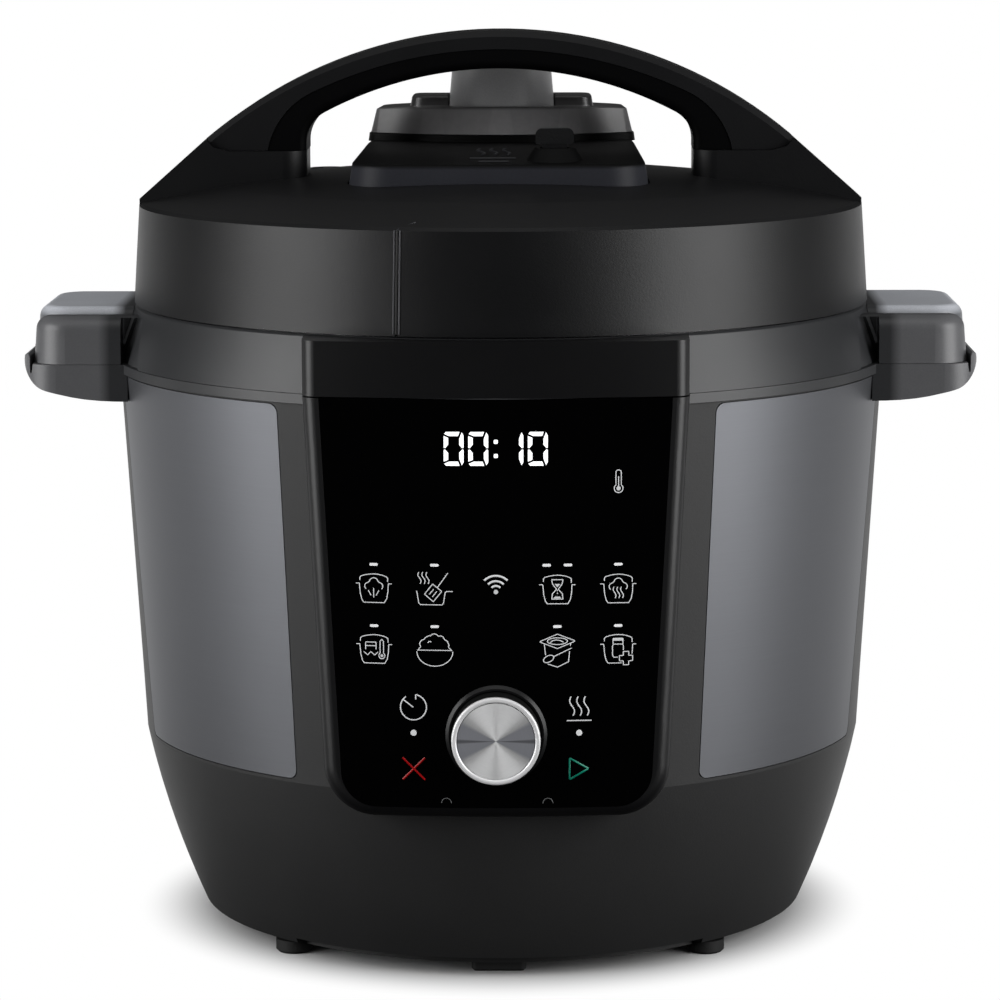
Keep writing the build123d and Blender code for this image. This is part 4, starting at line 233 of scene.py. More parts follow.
class CookerStage(bpy.types.PropertyGroup):
    """Camera, lamps and floor."""

    reach: distance("Camera distance", "Camera in front of the pot axis", 1.356)
    height: distance("Camera height", "Camera above the floor", 0.356)
    aside: distance("Camera aside", "Camera to the right of the pot axis", 0.0188)
    aim: number("Camera aim", "Aim to the right of the pot axis", -0.0005, unit="LENGTH")
    tilt: number("Camera tilt", "Downward tilt", math.radians(8.85), subtype="ANGLE")
    lens: number("Lens", "Focal length in millimetres", 139.4)
    top: power("Top lamp", "Soft lamp above the cooker", 2.2)
    left: power("Left lamp", "Soft lamp at the left", 14.5)
    right: power("Right lamp", "Soft lamp at the right", 16.0)
    floor: colour("Floor", "Pale floor", (0.76, 0.76, 0.76))


# Node helpers

def add_node(tree, kind, inputs=None, **settings):
    """Add a node, set it up, and set or link its inputs by name or number."""
    made = tree.nodes.new(kind)
    for key, value in settings.items():
        setattr(made, key, value)
    for key, value in (inputs or {}).items():
        if isinstance(value, bpy.types.NodeSocket):
            tree.links.new(value, made.inputs[key])
        else:
            made.inputs[key].default_value = value
    return made


def output(tree, kind, inputs=None, **settings):
    """First output of a new node."""
    return add_node(tree, kind, inputs, **settings).outputs[0]


def maths(tree, operation, *values):
    """Result of a Math node on numbers or sockets."""
    return output(tree, "ShaderNodeMath", dict(enumerate(values)), operation=operation)


def times(tree, first, *others):
    """Product of numbers or sockets."""
    for value in others:
        first = maths(tree, "MULTIPLY", first, value)
    return first


def plus(tree, first, *others):
    """Sum of numbers or sockets."""
    for value in others:
        first = maths(tree, "ADD", first, value)
    return first


def ramp(tree, value, low, high, start=0.0, end=1.0, **settings):
    """A value mapped from low and high to start and end, and held there."""
    inputs = {"Value": value, "From Min": low, "From Max": high, "To Min": start, "To Max": end}
    return output(tree, "ShaderNodeMapRange", inputs, **settings)


def noise(tree, spot, scale, detail, roughness=0.5, **settings):
    """A noise node, whose values lie about one half."""
    inputs = {"Vector": spot, "Scale": scale, "Detail": detail, "Roughness": roughness}
    return add_node(tree, "ShaderNodeTexNoise", inputs, **settings)


def sway(tree, made, amount):
    """A noise's swing about nothing, times an amount."""
    return times(tree, maths(tree, "SUBTRACT", made.outputs["Fac"], 0.5), amount)


def length(tree, vector):
    """Length of a vector."""
    return add_node(tree, "ShaderNodeVectorMath", {0: vector}, operation="LENGTH").outputs["Value"]


def scaled(tree, tint, gain):
    """A colour times a value."""
    return output(tree, "ShaderNodeVectorMath", {0: tint, "Scale": gain}, operation="SCALE")


def blend(tree, factor, first, second):
    """A colour between two colours."""
    inputs = {"Factor": factor, 6: first, 7: second}
    return add_node(tree, "ShaderNodeMix", inputs, data_type="RGBA").outputs[2]


def place(tree, kind="Object"):
    """Coordinates of the shaded point."""
    return add_node(tree, "ShaderNodeTexCoord").outputs[kind]


def parts(tree, vector):
    """X, Y and Z of a vector."""
    return add_node(tree, "ShaderNodeSeparateXYZ", {0: vector}).outputs


def vector(tree, *values):
    """A vector from X, Y and Z."""
    return output(tree, "ShaderNodeCombineXYZ", dict(enumerate(values)))


SOCKETS = {bool: "NodeSocketBool", float: "NodeSocketFloat", tuple: "NodeSocketColor"}


def new_group(name, kind, inputs, outputs):
    """A node group with named sockets, each input given by its value or its kind; gives the tree and its ends."""
    tree = bpy.data.node_groups.new(name, kind)
    for label, default in inputs.items():
        socket = SOCKETS.get(type(default), default)
        made = tree.interface.new_socket(label, in_out="INPUT", socket_type=socket)
        if socket != default:
            made.default_value = default
    for label, socket in outputs.items():
        tree.interface.new_socket(label, in_out="OUTPUT", socket_type=socket)
    return tree, tree.nodes.new("NodeGroupInput").outputs, tree.nodes.new("NodeGroupOutput").inputs


def once(build):
    """Build a node group the first time, and find it by its name after that."""
    def found():
        """The group, built if need be."""
        return bpy.data.node_groups.get(build.__name__) or build()
    return found


# Finishes

def rgba(values):
    """A colour with full alpha."""
    return (values[0], values[1], values[2], 1.0)


def finish_group(name, **inputs):
    """A shader group that gives a colour, a roughness and a height."""
    outputs = {"Colour": "NodeSocketColor", "Roughness": "NodeSocketFloat", "Height": "NodeSocketFloat"}
    inputs = {key.replace("_", " "): value for key, value in inputs.items()}
    return new_group(name, "ShaderNodeTree", inputs, outputs)


def end_finish(tree, result, tone, rough, height):
    """Link a finish group's outputs."""
    for key, value in (("Colour", tone), ("Roughness", rough), ("Height", height)):
        tree.links.new(value, result[key])
    return tree


@once
def moulded_plastic():
    """Group: fine moulded grain with a slow change of tone and gloss."""
    tree, given, result = finish_group(
        "moulded_plastic", Colour=(0.02, 0.02, 0.02, 1.0), Roughness=0.5, Grain_Size=0.0007, Mottle=0.1
    )
    spot = place(tree)
    grain = noise(tree, spot, maths(tree, "DIVIDE", 1.0, given["Grain Size"]), detail=3.0, roughness=0.65)
    swing = sway(tree, noise(tree, spot, scale=23.0, detail=4.0, roughness=0.55), given["Mottle"])
    gain = plus(tree, 1.0, times(tree, swing, 3.0), sway(tree, grain, 0.35))
    rough = plus(tree, given["Roughness"], swing)
    return end_finish(tree, result, scaled(tree, given["Colour"], gain), rough, grain.outputs["Fac"])


@once
def spun_metal():
    """Group: brush marks that run round the axis of the vector it is given."""
    tree, given, result = finish_group(
        "spun_metal",
        Vector="NodeSocketVector", Colour=(0.5, 0.5, 0.5, 1.0), Roughness=0.3, Line=0.0004, Contrast=0.2,
    )
    x, y, z = parts(tree, given["Vector"])
    radius = maths(tree, "SQRT", plus(tree, times(tree, x, x), times(tree, y, y)))
    safe = maths(tree, "MAXIMUM", radius, 0.0001)
    round_x, round_y = (times(tree, maths(tree, "DIVIDE", side, safe), 3.0) for side in (x, y))
    across, along = (maths(tree, "DIVIDE", side, given["Line"]) for side in (radius, z))
    spot = vector(tree, round_x, round_y, across)
    lines = noise(tree, spot, scale=1.0, detail=4.0, roughness=0.7, noise_dimensions="4D")
    tree.links.new(along, lines.inputs["W"])
    swing = sway(tree, lines, given["Contrast"])
    drift = sway(tree, noise(tree, given["Vector"], scale=14.0, detail=3.0), 0.12)
    tone = scaled(tree, given["Colour"], plus(tree, 1.0, swing, drift))
    rough = plus(tree, given["Roughness"], times(tree, swing, 0.35))
    return end_finish(tree, result, tone, rough, lines.outputs["Fac"])


def empty_material(name):
    """A material without nodes, and its tree."""
    material = bpy.data.materials.new(name)
    material.use_nodes = True
    material.node_tree.nodes.clear()
    return material, material.node_tree


def new_material(name, **shader_values):
    """A material with one Principled shader; gives the material, its tree and the shader."""
    material, tree = empty_material(name)
    values = {key.replace("_", " "): value for key, value in shader_values.items()}
    shader = add_node(tree, "ShaderNodeBsdfPrincipled", values)
    add_node(tree, "ShaderNodeOutputMaterial", {"Surface": shader.outputs[0]})
    return material, tree, shader


def link_finish(tree, shader, group, values, bump, depth):
    """Feed a shader from a finish group, with a bump of the given strength and depth."""
    made = add_node(tree, "ShaderNodeGroup", values, node_tree=group, name="finish").outputs
    relief = output(tree, "ShaderNodeBump", {"Height": made["Height"], "Strength": bump, "Distance": depth})
    for key, value in (("Base Color", made["Colour"]), ("Roughness", made["Roughness"]), ("Normal", relief)):
        tree.links.new(value, shader.inputs[key])


def plastic(name, tint, roughness, bump, grain=None, mottle=None, **shader_values):
    """A moulded plastic finish, with the grain and mottle of the settings if none are given."""
    p = bpy.context.scene.cooker_plastics
    material, tree, shader = new_material(name, **shader_values)
    values = {
        "Colour": rgba(tint),
        "Roughness": roughness,
        "Grain Size": grain or p.grain,
        "Mottle": mottle or p.mottle,
    }
    link_finish(tree, shader, moulded_plastic(), values, bump, PLASTIC_RELIEF)
    return material


def metal(name, tint, roughness, contrast, bump, line=None, centre=(0, 0, 0), turn=(0, 0, 0), **shader_values):
    """A brushed or spun metal finish, its marks running round the Z axis after the turn."""
    material, tree, shader = new_material(name, **{"Metallic": 1.0, **shader_values})
    moved = {"Vector": place(tree), "Location": centre, "Rotation": turn}
    values = {
        "Vector": output(tree, "ShaderNodeMapping", moved, vector_type="POINT"),
        "Colour": rgba(tint),
        "Roughness": roughness,
        "Line": line or bpy.context.scene.cooker_metals.line,
        "Contrast": contrast,
    }
    link_finish(tree, shader, spun_metal(), values, bump, METAL_RELIEF)
    return material


def backlit(name, tint, glow):
    """A print with light behind it, a little uneven."""
    material, tree, shader = new_material(name, Roughness=0.35, Emission_Strength=glow)
    values = {"Colour": rgba(tint), "Roughness": 0.35, "Grain Size": 0.0009, "Mottle": 0.05}
    group = add_node(tree, "ShaderNodeGroup", values, node_tree=moulded_plastic())
    for key in ("Base Color", "Emission Color"):
        tree.links.new(group.outputs["Colour"], shader.inputs[key])
    return material


def recolour(material, tone):
    """Feed the colour of a material's finish."""
    tree = material.node_tree
    tree.links.new(tone, tree.nodes["finish"].inputs["Colour"])


def dress(material, *names):
    """Give CAD nodes a material."""
    for name in names:
        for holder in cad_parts[name].material_slots:
            holder.material = material


# Geometry Nodes

def shape_tree(name, **inputs):
    """A Geometry Nodes tree that takes a drawing, the given inputs and a material."""
    sockets = {"Geometry": "NodeSocketGeometry"}
    sockets.update((key.replace("_", " "), value) for key, value in inputs.items())
    sockets["Material"] = "NodeSocketMaterial"
    return new_group(name, "GeometryNodeTree", sockets, {"Geometry": "NodeSocketGeometry"})


def end_shape(tree, given, result, shape):
    """End a tree with real geometry in its material."""
    whole = output(tree, "GeometryNodeRealizeInstances", {"Geometry": shape})
    painted = output(tree, "GeometryNodeSetMaterial", {"Geometry": whole, "Material": given["Material"]})
    tree.links.new(painted, result[0])
    return tree


def join(tree, *shapes):
    """Several shapes as one."""
    made = add_node(tree, "GeometryNodeJoinGeometry")
    for shape in shapes:
        tree.links.new(shape, made.inputs[0])
    return made.outputs[0]


def sweep(tree, path, section):
    """A closed solid along a path."""
    inputs = {"Curve": path, "Profile Curve": section, "Fill Caps": True}
    return output(tree, "GeometryNodeCurveToMesh", inputs)


def square(tree, width):
    """A square section."""
    return output(tree, "GeometryNodeCurvePrimitiveQuadrilateral", {"Width": width, "Height": width})


def stand(tree, points, shape):
    """A shape on every point."""
    return output(tree, "GeometryNodeInstanceOnPoints", {"Points": points, "Instance": shape})


@once
def print_on_glass():
    """Tree: strokes or filled shapes drawn flat in XY, laid on the bowed front of the panel."""
    tree, given, result = shape_tree(
        "print_on_glass", Filled=False, Stroke=0.0005, Corner=0.0004, Thick=0.00008, Front=-0.134, Bow=0.32
    )
    drawing, filled, stroke, bow = (given[key] for key in ("Geometry", "Filled", "Stroke", "Bow"))
    path = output(tree, "GeometryNodeMeshToCurve", {"Mesh": drawing})
    corner = {"Curve": path, "Radius": given["Corner"], "Limit Radius": True, "Count": 3}
    path = output(tree, "GeometryNodeFilletCurve", corner, mode="POLY")
    path = output(tree, "GeometryNodeSetCurveNormal", {"Curve": path}, mode="Z_UP")
    ribbon = sweep(tree, path, square(tree, stroke))
    raised = {"Mesh": drawing, "Offset Scale": stroke}
    upper = add_node(tree, "GeometryNodeExtrudeMesh", raised, mode="FACES").outputs["Mesh"]
    slab = join(tree, upper, output(tree, "GeometryNodeFlipFaces", {"Mesh": drawing}))
    slab = output(tree, "GeometryNodeMergeByDistance", {"Geometry": slab, "Distance": 0.000001})
    choice = {"Switch": filled, "False": ribbon, "True": slab}
    chosen = output(tree, "GeometryNodeSwitch", choice, input_type="GEOMETRY")
    x, y, z = parts(tree, output(tree, "GeometryNodeInputPosition"))
    middle = {"Switch": filled, "True": times(tree, stroke, 0.5)}
    drop = output(tree, "GeometryNodeSwitch", middle, input_type="FLOAT")
    level = maths(tree, "DIVIDE", maths(tree, "SUBTRACT", z, drop), stroke)
    lift = times(tree, level, given["Thick"])
    inner = maths(tree, "SUBTRACT", times(tree, bow, bow), times(tree, x, x))
    depth = plus(tree, given["Front"], maths(tree, "SUBTRACT", bow, maths(tree, "SQRT", inner)))
    spot = vector(tree, x, maths(tree, "SUBTRACT", depth, lift), y)
    laid = output(tree, "GeometryNodeSetPosition", {"Geometry": chosen, "Position": spot})
    return end_shape(tree, given, result, laid)


@once
def strip_on_path():
    """Tree: a thin square strip along every given path."""
    tree, given, result = shape_tree("strip_on_path", Width=0.0005)
    path = output(tree, "GeometryNodeMeshToCurve", {"Mesh": given["Geometry"]})
    return end_shape(tree, given, result, sweep(tree, path, square(tree, given["Width"])))


@once
def screw_set():
    """Tree: a cross-recess screw, head down, on every given point."""
    tree, given, result = shape_tree(
        "screw_set",
        Head_Radius=0.0034, Head_Height=0.0022, Shank_Radius=0.0018, Shank_Length=0.010, Recess=0.0011,
    )
    radius, rise, long = (given[key] for key in ("Head Radius", "Head Height", "Shank Length"))
    cone = {"Vertices": 32, "Radius Top": radius, "Radius Bottom": times(tree, radius, 0.78), "Depth": rise}
    head = add_node(tree, "GeometryNodeMeshCone", cone).outputs["Mesh"]
    slot_wide, slot_long = (times(tree, radius, size) for size in (0.30, 1.15))
    slot_deep = times(tree, given["Recess"], 2.0)
    arms = []
    for wide, high in ((slot_wide, slot_long), (slot_long, slot_wide)):
        size = vector(tree, wide, high, slot_deep)
        arms.append(add_node(tree, "GeometryNodeMeshCube", {"Size": size}).outputs["Mesh"])
    cut = {"Mesh 1": head, "Mesh 2": join(tree, *arms), "Self Intersection": True}
    head = add_node(tree, "GeometryNodeMeshBoolean", cut, operation="DIFFERENCE", solver="EXACT").outputs["Mesh"]
    rod = {"Vertices": 20, "Radius": given["Shank Radius"], "Depth": long}
    shank = add_node(tree, "GeometryNodeMeshCylinder", rod).outputs["Mesh"]
    up = vector(tree, 0.0, 0.0, plus(tree, rise, times(tree, long, 0.5)))
    shank = output(tree, "GeometryNodeTransform", {"Geometry": shank, "Translation": up})
    return end_shape(tree, given, result, stand(tree, given["Geometry"], join(tree, head, shank)))


@once
def coil_spring():
    """Tree: a wire coil standing on every given point."""
    tree, given, result = shape_tree("coil_spring", Radius=0.0096, Wire_Radius=0.0008, Length=0.010, Turns=4.0)
    spiral = {
        "Resolution": 36,
        "Rotations": given["Turns"],
        "Start Radius": given["Radius"],
        "End Radius": given["Radius"],
        "Height": given["Length"],
    }
    coil = output(tree, "GeometryNodeCurveSpiral", spiral)
    circle = {"Resolution": 12, "Radius": given["Wire Radius"]}
    wire = sweep(tree, coil, output(tree, "GeometryNodeCurvePrimitiveCircle", circle))
    return end_shape(tree, given, result, stand(tree, given["Geometry"], wire))


def add_object(name, data):
    """An object in the scene."""
    made = bpy.data.objects.new(name, data)
    bpy.context.scene.collection.objects.link(made)
    return made


def new_mesh(name, points, edges=(), faces=()):
    """A mesh from points, edges and faces."""
    mesh = bpy.data.meshes.new(name)
    mesh.from_pydata(points, edges, faces)
    return mesh


def grow(name, drawing, tree, values):
    """Run a Geometry Nodes tree on a drawing and give the result as a plain mesh object."""
    seed = add_object(name + "_drawing", drawing)
    modifier = seed.modifiers.new("nodes", "NODES")
    modifier.node_group = tree
    sockets = {item.name: item.identifier for item in tree.interface.items_tree if item.in_out == "INPUT"}
    for key, value in values.items():
        modifier[sockets[key]] = value
    bpy.context.view_layer.update()
    graph = bpy.context.evaluated_depsgraph_get()
    mesh = bpy.data.meshes.new_from_object(seed.evaluated_get(graph))
    mesh.name = name
    seed.modifiers.clear()
    bpy.data.objects.remove(seed)
    if not mesh.polygons:
        raise RuntimeError(f"{name} came out empty")
    return add_object(name, mesh)


def line_drawing(name, paths):
    """Edges of open or closed paths, in millimetres; a path that ends where it starts is closed."""
    points = []
    edges = []
    for path in paths:
        closed = path[0] == path[-1] and len(path) > 2
        corners = path[:-1] if closed else path
        start = len(points)
        points += [(u * MM, v * MM, 0.0) for u, v in corners]
        end = len(points) - 1
        edges += [(i, i + 1) for i in range(start, end)]
        if closed:
            edges.append((end, start))
    return new_mesh(name + "_lines", points, edges)


def shape_drawing(name, shapes):
    """Faces of closed shapes, in millimetres, anticlockwise."""
    points = []
    faces = []
    for shape in shapes:
        start = len(points)
        points += [(u * MM, v * MM, 0.0) for u, v in shape]
        faces.append(tuple(range(start, len(points))))
    return new_mesh(name + "_shapes", points, faces=faces)


def lay_print(name, drawing, material, stroke, corner=0.0004):
    """Lay a drawing on the touch panel, filled where it has faces, as a piece of the base."""
    prints = bpy.context.scene.cooker_prints
    values = {
        "Filled": len(drawing.polygons) > 0,
        "Stroke": stroke,
        "Corner": corner,
        "Thick": prints.thick,
        "Front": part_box("control_glass")[0].y,
        "Bow": prints.bow,
        "Material": material,
    }
    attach(grow(name, drawing, print_on_glass(), values), "base")


def lay_strip(name, drawing, width, material):
    """Lay strips along a drawing on the lid, as a piece of the lid."""
    made = grow(name, drawing, strip_on_path(), {"Width": width, "Material": material})
    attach(made, "lid")


# Outlines of the panel prints, in millimetres about each icon's middle

def arc(u, v, r, start, end, count=14, squash=1.0, lean=0.0):
    """Points along an arc, in degrees; squash flattens it and lean turns it."""
    c, s = math.cos(math.radians(lean)), math.sin(math.radians(lean))
    points = []
    for i in range(count + 1):
        angle = math.radians(start + (end - start) * i / count)
        a = r * math.cos(angle)
        b = r * squash * math.sin(angle)
        points.append((u + a * c - b * s, v + a * s + b * c))
    return points


def ring(u, v, r, count=28, squash=1.0, lean=0.0):
    """A closed round outline."""
    points = arc(u, v, r, 0, 360, count, squash, lean)
    points[-1] = points[0]
    return points


def wave(u, top, low, swing):
    """An upright steam wave."""
    points = []
    for i in range(13):
        t = i / 12
        points.append((u - swing * math.sin(FULL_TURN * t) + swing * (t - 0.5), top + (low - top) * t))
    return points


def bar(u, v, wide, high):
    """A filled bar with round ends."""
    r = high / 2
    x = wide / 2 - r
    return arc(u + x, v, r, -90, 90, 8) + arc(u - x, v, r, 90, 270, 8)


def disc(u, v, r):
    """A filled dot."""
    return arc(u, v, r, 0, 360, 20)[:-1]


def move(paths, u, v, wide=1.0, high=1.0):
    """Stretch paths and shift them to a place on the panel."""
    return [[(a * wide + u, b * high + v) for a, b in path] for path in paths]


POT_LID = [
    (-4.4, 2.45), (-4.4, 3.3), (-4.0, 3.75), (-2.6, 4.15), (-1.3, 4.35), (0, 4.45),
    (1.3, 4.35), (2.6, 4.1), (3.9, 3.65), (4.4, 3.2), (4.4, 2.0),
]
POT_BODY = [
    (-5.7, 1.5), (-4.6, 1.5), (-4.3, -1.7), (-3.8, -3.6), (-3.2, -4.45),
    (3.3, -4.5), (4.1, -3.2), (4.5, -1.0), (4.6, 1.4), (5.7, 1.4),
]
CLOUD = (
    arc(-1.75, 0.62, 1.13, 232, 95, 9) + arc(0, 1.85, 1.38, 165, 15, 12) + arc(1.72, 0.62, 1.13, 85, -50, 9)
)


def steaming():
    """Pot with a cloud and rays."""
    rays = [[(-0.06, 0), (-0.06, -2.87)], [(-1.75, -0.69), (-0.9, -2.26)], [(1.6, -0.69), (0.75, -2.26)]]
    return [POT_LID, POT_BODY, CLOUD] + rays


def frying():
    """Pan with a turner and steam."""
    blade = [(-0.57, 1.2), (2.3, -1.06), (-0.42, -4.3), (-3.14, -1.96), (-0.57, 1.2)]
    handle = [(0.94, 0.15), (4.26, 4.68)]
    slots = [[(-1.63, -2.0), (-0.27, -0.4)], [(-0.66, -2.8), (0.72, -1.06)]]
    pan = [
        (-5.64, -0.9), (-5.0, -4.68), (-4.5, -5.22), (2.44, -5.28), (2.84, -4.68),
        (3.38, -1.5), (3.8, -1.06), (5.76, -1.09),
    ]
    return [blade, handle, pan] + slots + [wave(u, 4.9, 1.27, 0.4) for u in (-4.72, -3.45, -2.18)]


def slow_cooking():
    """Pot with an hourglass."""
    side = [(1.75, 2.9), (1.55, 1.8), (0.85, 0.75), (0.24, 0.1), (0.85, -0.6), (1.55, -1.33), (1.75, -3.0)]
    other = [(-u, v) for u, v in side]
    bars = [[(-1.85, v), (1.9, v)] for v in (3.02, -3.02)]
    return [POT_LID, POT_BODY, side, other] + bars


def warming():
    """Pot with a cloud and three steam waves."""
    waves = [wave(u, 0.53, -2.97, 0.36) for u in (-1.18, 0.0, 1.18)]
    return [POT_LID, POT_BODY, CLOUD] + waves


def water_bath():
    """Pot with a bag in water and a thermometer."""
    bag = [(-2.75, -0.15), (-2.75, 2.1), (0.57, 2.1), (0.57, -0.15)]
    seam = [(-2.75, 0.97), (0.57, 0.97)]
    water = [(-3.35, -0.9), (-2.14, -1.96), (-1.09, -0.9), (0.12, -1.96), (1.18, -0.97)]
    tube = [(1.85, -1.3), (1.85, 2.4), (2.4, 3.0), (2.95, 2.4), (2.95, -1.3)]
    return [POT_LID, POT_BODY, bag, seam, water, tube + arc(2.4, -2.1, 0.97, 54, -234, 16) + tube[:1]]


def rice():
    """Bowl heaped with rice."""
    heap = [
        (-5.5, -0.5), (-4.47, 0.8), (-4.86, 1.66), (-4.3, 2.7), (-3.35, 3.1), (-2.9, 3.7), (-1.84, 4.2),
        (-1.4, 4.13), (-0.75, 4.7), (-0.12, 4.83), (0.6, 4.6), (1.18, 4.07), (1.8, 4.2), (2.6, 3.9),
        (3.14, 3.0), (4.0, 2.5), (4.5, 1.2), (4.35, 0.6), (5.45, -0.45),
    ]
    rim = [(-5.4, -0.33), (5.4, -0.36)]
    bowl = arc(0, -0.75, 5.7, 180, 360, 26, 0.8)
    return [heap, rim, bowl, [(-2.2, 2.0), (-1.75, 2.47), (-1.1, 2.26)]]


def yoghurt():
    """Cup with a spoon."""
    top = [(0, 4.7), (5.75, 2.5), (0, 0.17), (-5.75, 2.35), (0, 4.7)]
    inside = [(-2.37, 2.05), (-1.4, 2.7), (-0.36, 2.9), (0.9, 2.7), (1.93, 2.17)]
    left = [(-4.15, 1.45), (-3.74, -1.81)]
    right = [(4.22, 1.8), (4.1, 1.1)]
    foot = [(3.86, -0.72), (3.5, -3.98), (0, -5.62), (-3.1, -4.6)]
    spoon = [(4.47, 0.3), (-1.09, -2.25)]
    mouth = ring(0, 2.49, 3.19, 24, 0.33)
    scoop = ring(-2.78, -3.02, 1.74, 22, 0.57, 25)
    return [top, mouth, inside, left, right, foot, spoon, scoop]


def canning():
    """Pot with a jar and a plus."""
    body = POT_BODY[:5] + [(1.1, -4.45)]
    edge = [(5.7, 1.4), (4.6, 1.4), (4.4, -1.6)]
    jar = [(-1.64, 1.3), (-1.8, 0.85), (-1.8, -2.05), (-1.45, -2.65), (-0.12, -2.65)]
    far_side = [(1.45, 1.3), (1.64, 0.85), (1.64, -0.5)]
    neck = [(-1.64, 1.45), (-1.64, 3.26), (1.5, 3.26), (1.5, 1.45), (-1.64, 1.45)]
    a, b = 2.1, 0.85
    cross = [
        (b, b), (b, a), (-b, a), (-b, b), (-a, b), (-a, -b), (-b, -b), (-b, -a), (b, -a), (b, -b), (a, -b),
        (a, b), (b, b),
    ]
    return [POT_LID, body, edge, jar, far_side, neck] + move([cross], 2.49, -3.0)


def wireless():
    """Three arcs over a dot."""
    return [arc(0, 0, r, 135, 45, 14) for r in (1.95, 3.5, 5.25)]


def thermometer():
    """Thermometer beside the display."""
    tube = [(-0.85, -1.2), (-0.85, 2.9)] + arc(0, 2.9, 0.85, 180, 0, 10) + [(0.85, -1.2)]
    return [tube + arc(0, -2.2, 1.4, 54, -234, 18) + tube[:1], [(0, 1.7), (0, -2.0)]]


def timer():
    """Open clock face with a hand."""
    return [arc(0, 0, 4.2, 80, -235, 34), [(0.73, 4.14), (0.73, 2.6)], [(-3.2, 2.4), (-0.1, 0.0)]]


def keep_warm():
    """Three waves over a line."""
    return [wave(u, 4.0, -2.3, 0.62) for u in (-2.3, 0.0, 2.3)] + [[(-4.0, -3.9), (4.0, -3.9)]]


DIGIT_PARTS = {
    "0": "abcdef", "1": "bc", "2": "abged", "3": "abgcd", "4": "fgbc",
    "5": "afgcd", "6": "afgedc", "7": "abc", "8": "abcdefg", "9": "abcdfg",
}


def digit(symbol, u, v):
    """Filled parts of one seven-part digit."""
    cap = [(-3.0, 4.8), (-2.45, 5.45), (1.9, 5.45), (1.42, 4.1), (-1.45, 4.1)]
    right = [(2.62, 5.3), (3.2, 4.3), (3.2, 0.3), (2.75, 0.2), (1.82, 1.25), (1.82, 3.2)]
    left = [(-3.15, 4.12), (-1.72, 3.55), (-1.72, 1.35), (-2.65, 0.25), (-3.15, 0.3)]
    middle = [(-2.3, 0), (-1.4, 0.65), (1.4, 0.65), (2.3, 0), (1.4, -0.65), (-1.4, -0.65)]
    low_right, low_cap, low_left = ([(a, -b) for a, b in part] for part in (right, cap, left))
    shapes = dict(zip("abcdefg", (cap, right, low_right, low_cap, low_left, left, middle)))
    return move([shapes[key] for key in DIGIT_PARTS[symbol]], u, v)


def facing_up(shapes):
    """The shapes turned anticlockwise, so that their faces look out of the panel."""
    turned = []
    for shape in shapes:
        area = sum(a[0] * b[1] - b[0] * a[1] for a, b in zip(shape, shape[1:] + shape[:1]))
        turned.append(shape if area > 0 else shape[::-1])
    return turned


COLON_DOT = [
    (0.66, -0.4), (0.66, 0.4), (0.4, 0.66), (-0.4, 0.66), (-0.66, 0.4), (-0.66, -0.4), (-0.4, -0.66), (0.4, -0.66),
]
COLON_U, COLON_V = 0.12, 2.28
DIGIT_Z = 182.3
DIGIT_AT = (-13.35, -5.5, 5.7, 13.5)
ROW_ONE, ROW_TWO = 136.7, 116.7
NEAR, FAR = 19.7, 39.25
BAR_UP = 7.9
BAR_WIDE, BAR_HIGH = 2.75, 0.88
BAR_PAIR = 3.4
ICON_WIDE, ICON_HIGH = 1.016, 1.046
PROGRAMMES = {
    steaming: (-FAR, ROW_ONE + 0.15),
    frying: (-NEAR, ROW_ONE + 0.5),
    slow_cooking: (NEAR, ROW_ONE),
    warming: (FAR, ROW_ONE),
    water_bath: (-FAR, ROW_TWO + 0.3),
    rice: (-NEAR, ROW_TWO + 0.5),
    yoghurt: (NEAR, ROW_TWO + 0.5),
    canning: (FAR, ROW_TWO + 0.3),
}
ICON_FILLS = {
    slow_cooking: [
        [(-0.85, 1.7), (0.9, 1.7), (0, 0.65)],
        [(-1.3, -2.8), (1.3, -2.8), (0.7, -2.2), (-0.7, -2.2)],
        disc(0, -0.35, 0.2),
        disc(0, -1.2, 0.2),
    ],
    canning: [[(-1.6, 2.53), (1.46, 2.53), (1.46, 3.26), (-1.6, 3.26)]],
    water_bath: [disc(2.4, -2.1, 0.45)],
}
ICON_CORNER = 0.00018
KEY_STROKE, SIGNAL_STROKE, NOTCH_STROKE = 1.38, 2.3, 0.7     # times the setting
CANCEL_STROKE, START_STROKE = 2.2, 2.1
SIGNAL_AT = (0, 136.0)
THERMOMETER_AT = (39.3, 171.4)
BULB_DOWN = 2.2
SIDE_KEYS = 26.7
KEY_ROW = 97.3
LAMP_ROW = 89.7
MARK_ROW = 77.85
CROSS_HALF = 3.6
START_TRIANGLE = [(-3.1, 3.5), (-3.1, -3.5), (3.0, 0), (-3.1, 3.5)]
START_CORNER = 0.0002
SENSOR_NOTCHES = (-16.2, 16.6)
NOTCH_Z, NOTCH_R = 66.6, 1.6
STEAM_MARK = [wave(u, -8, -27, 1.0) for u in (-6.4, -2.0, 2.4)]
STEAM_MARK += [[(-9.8, -38), (5.8, -38)], [(-6.7, -48), (3.5, -48)]]


# Operators

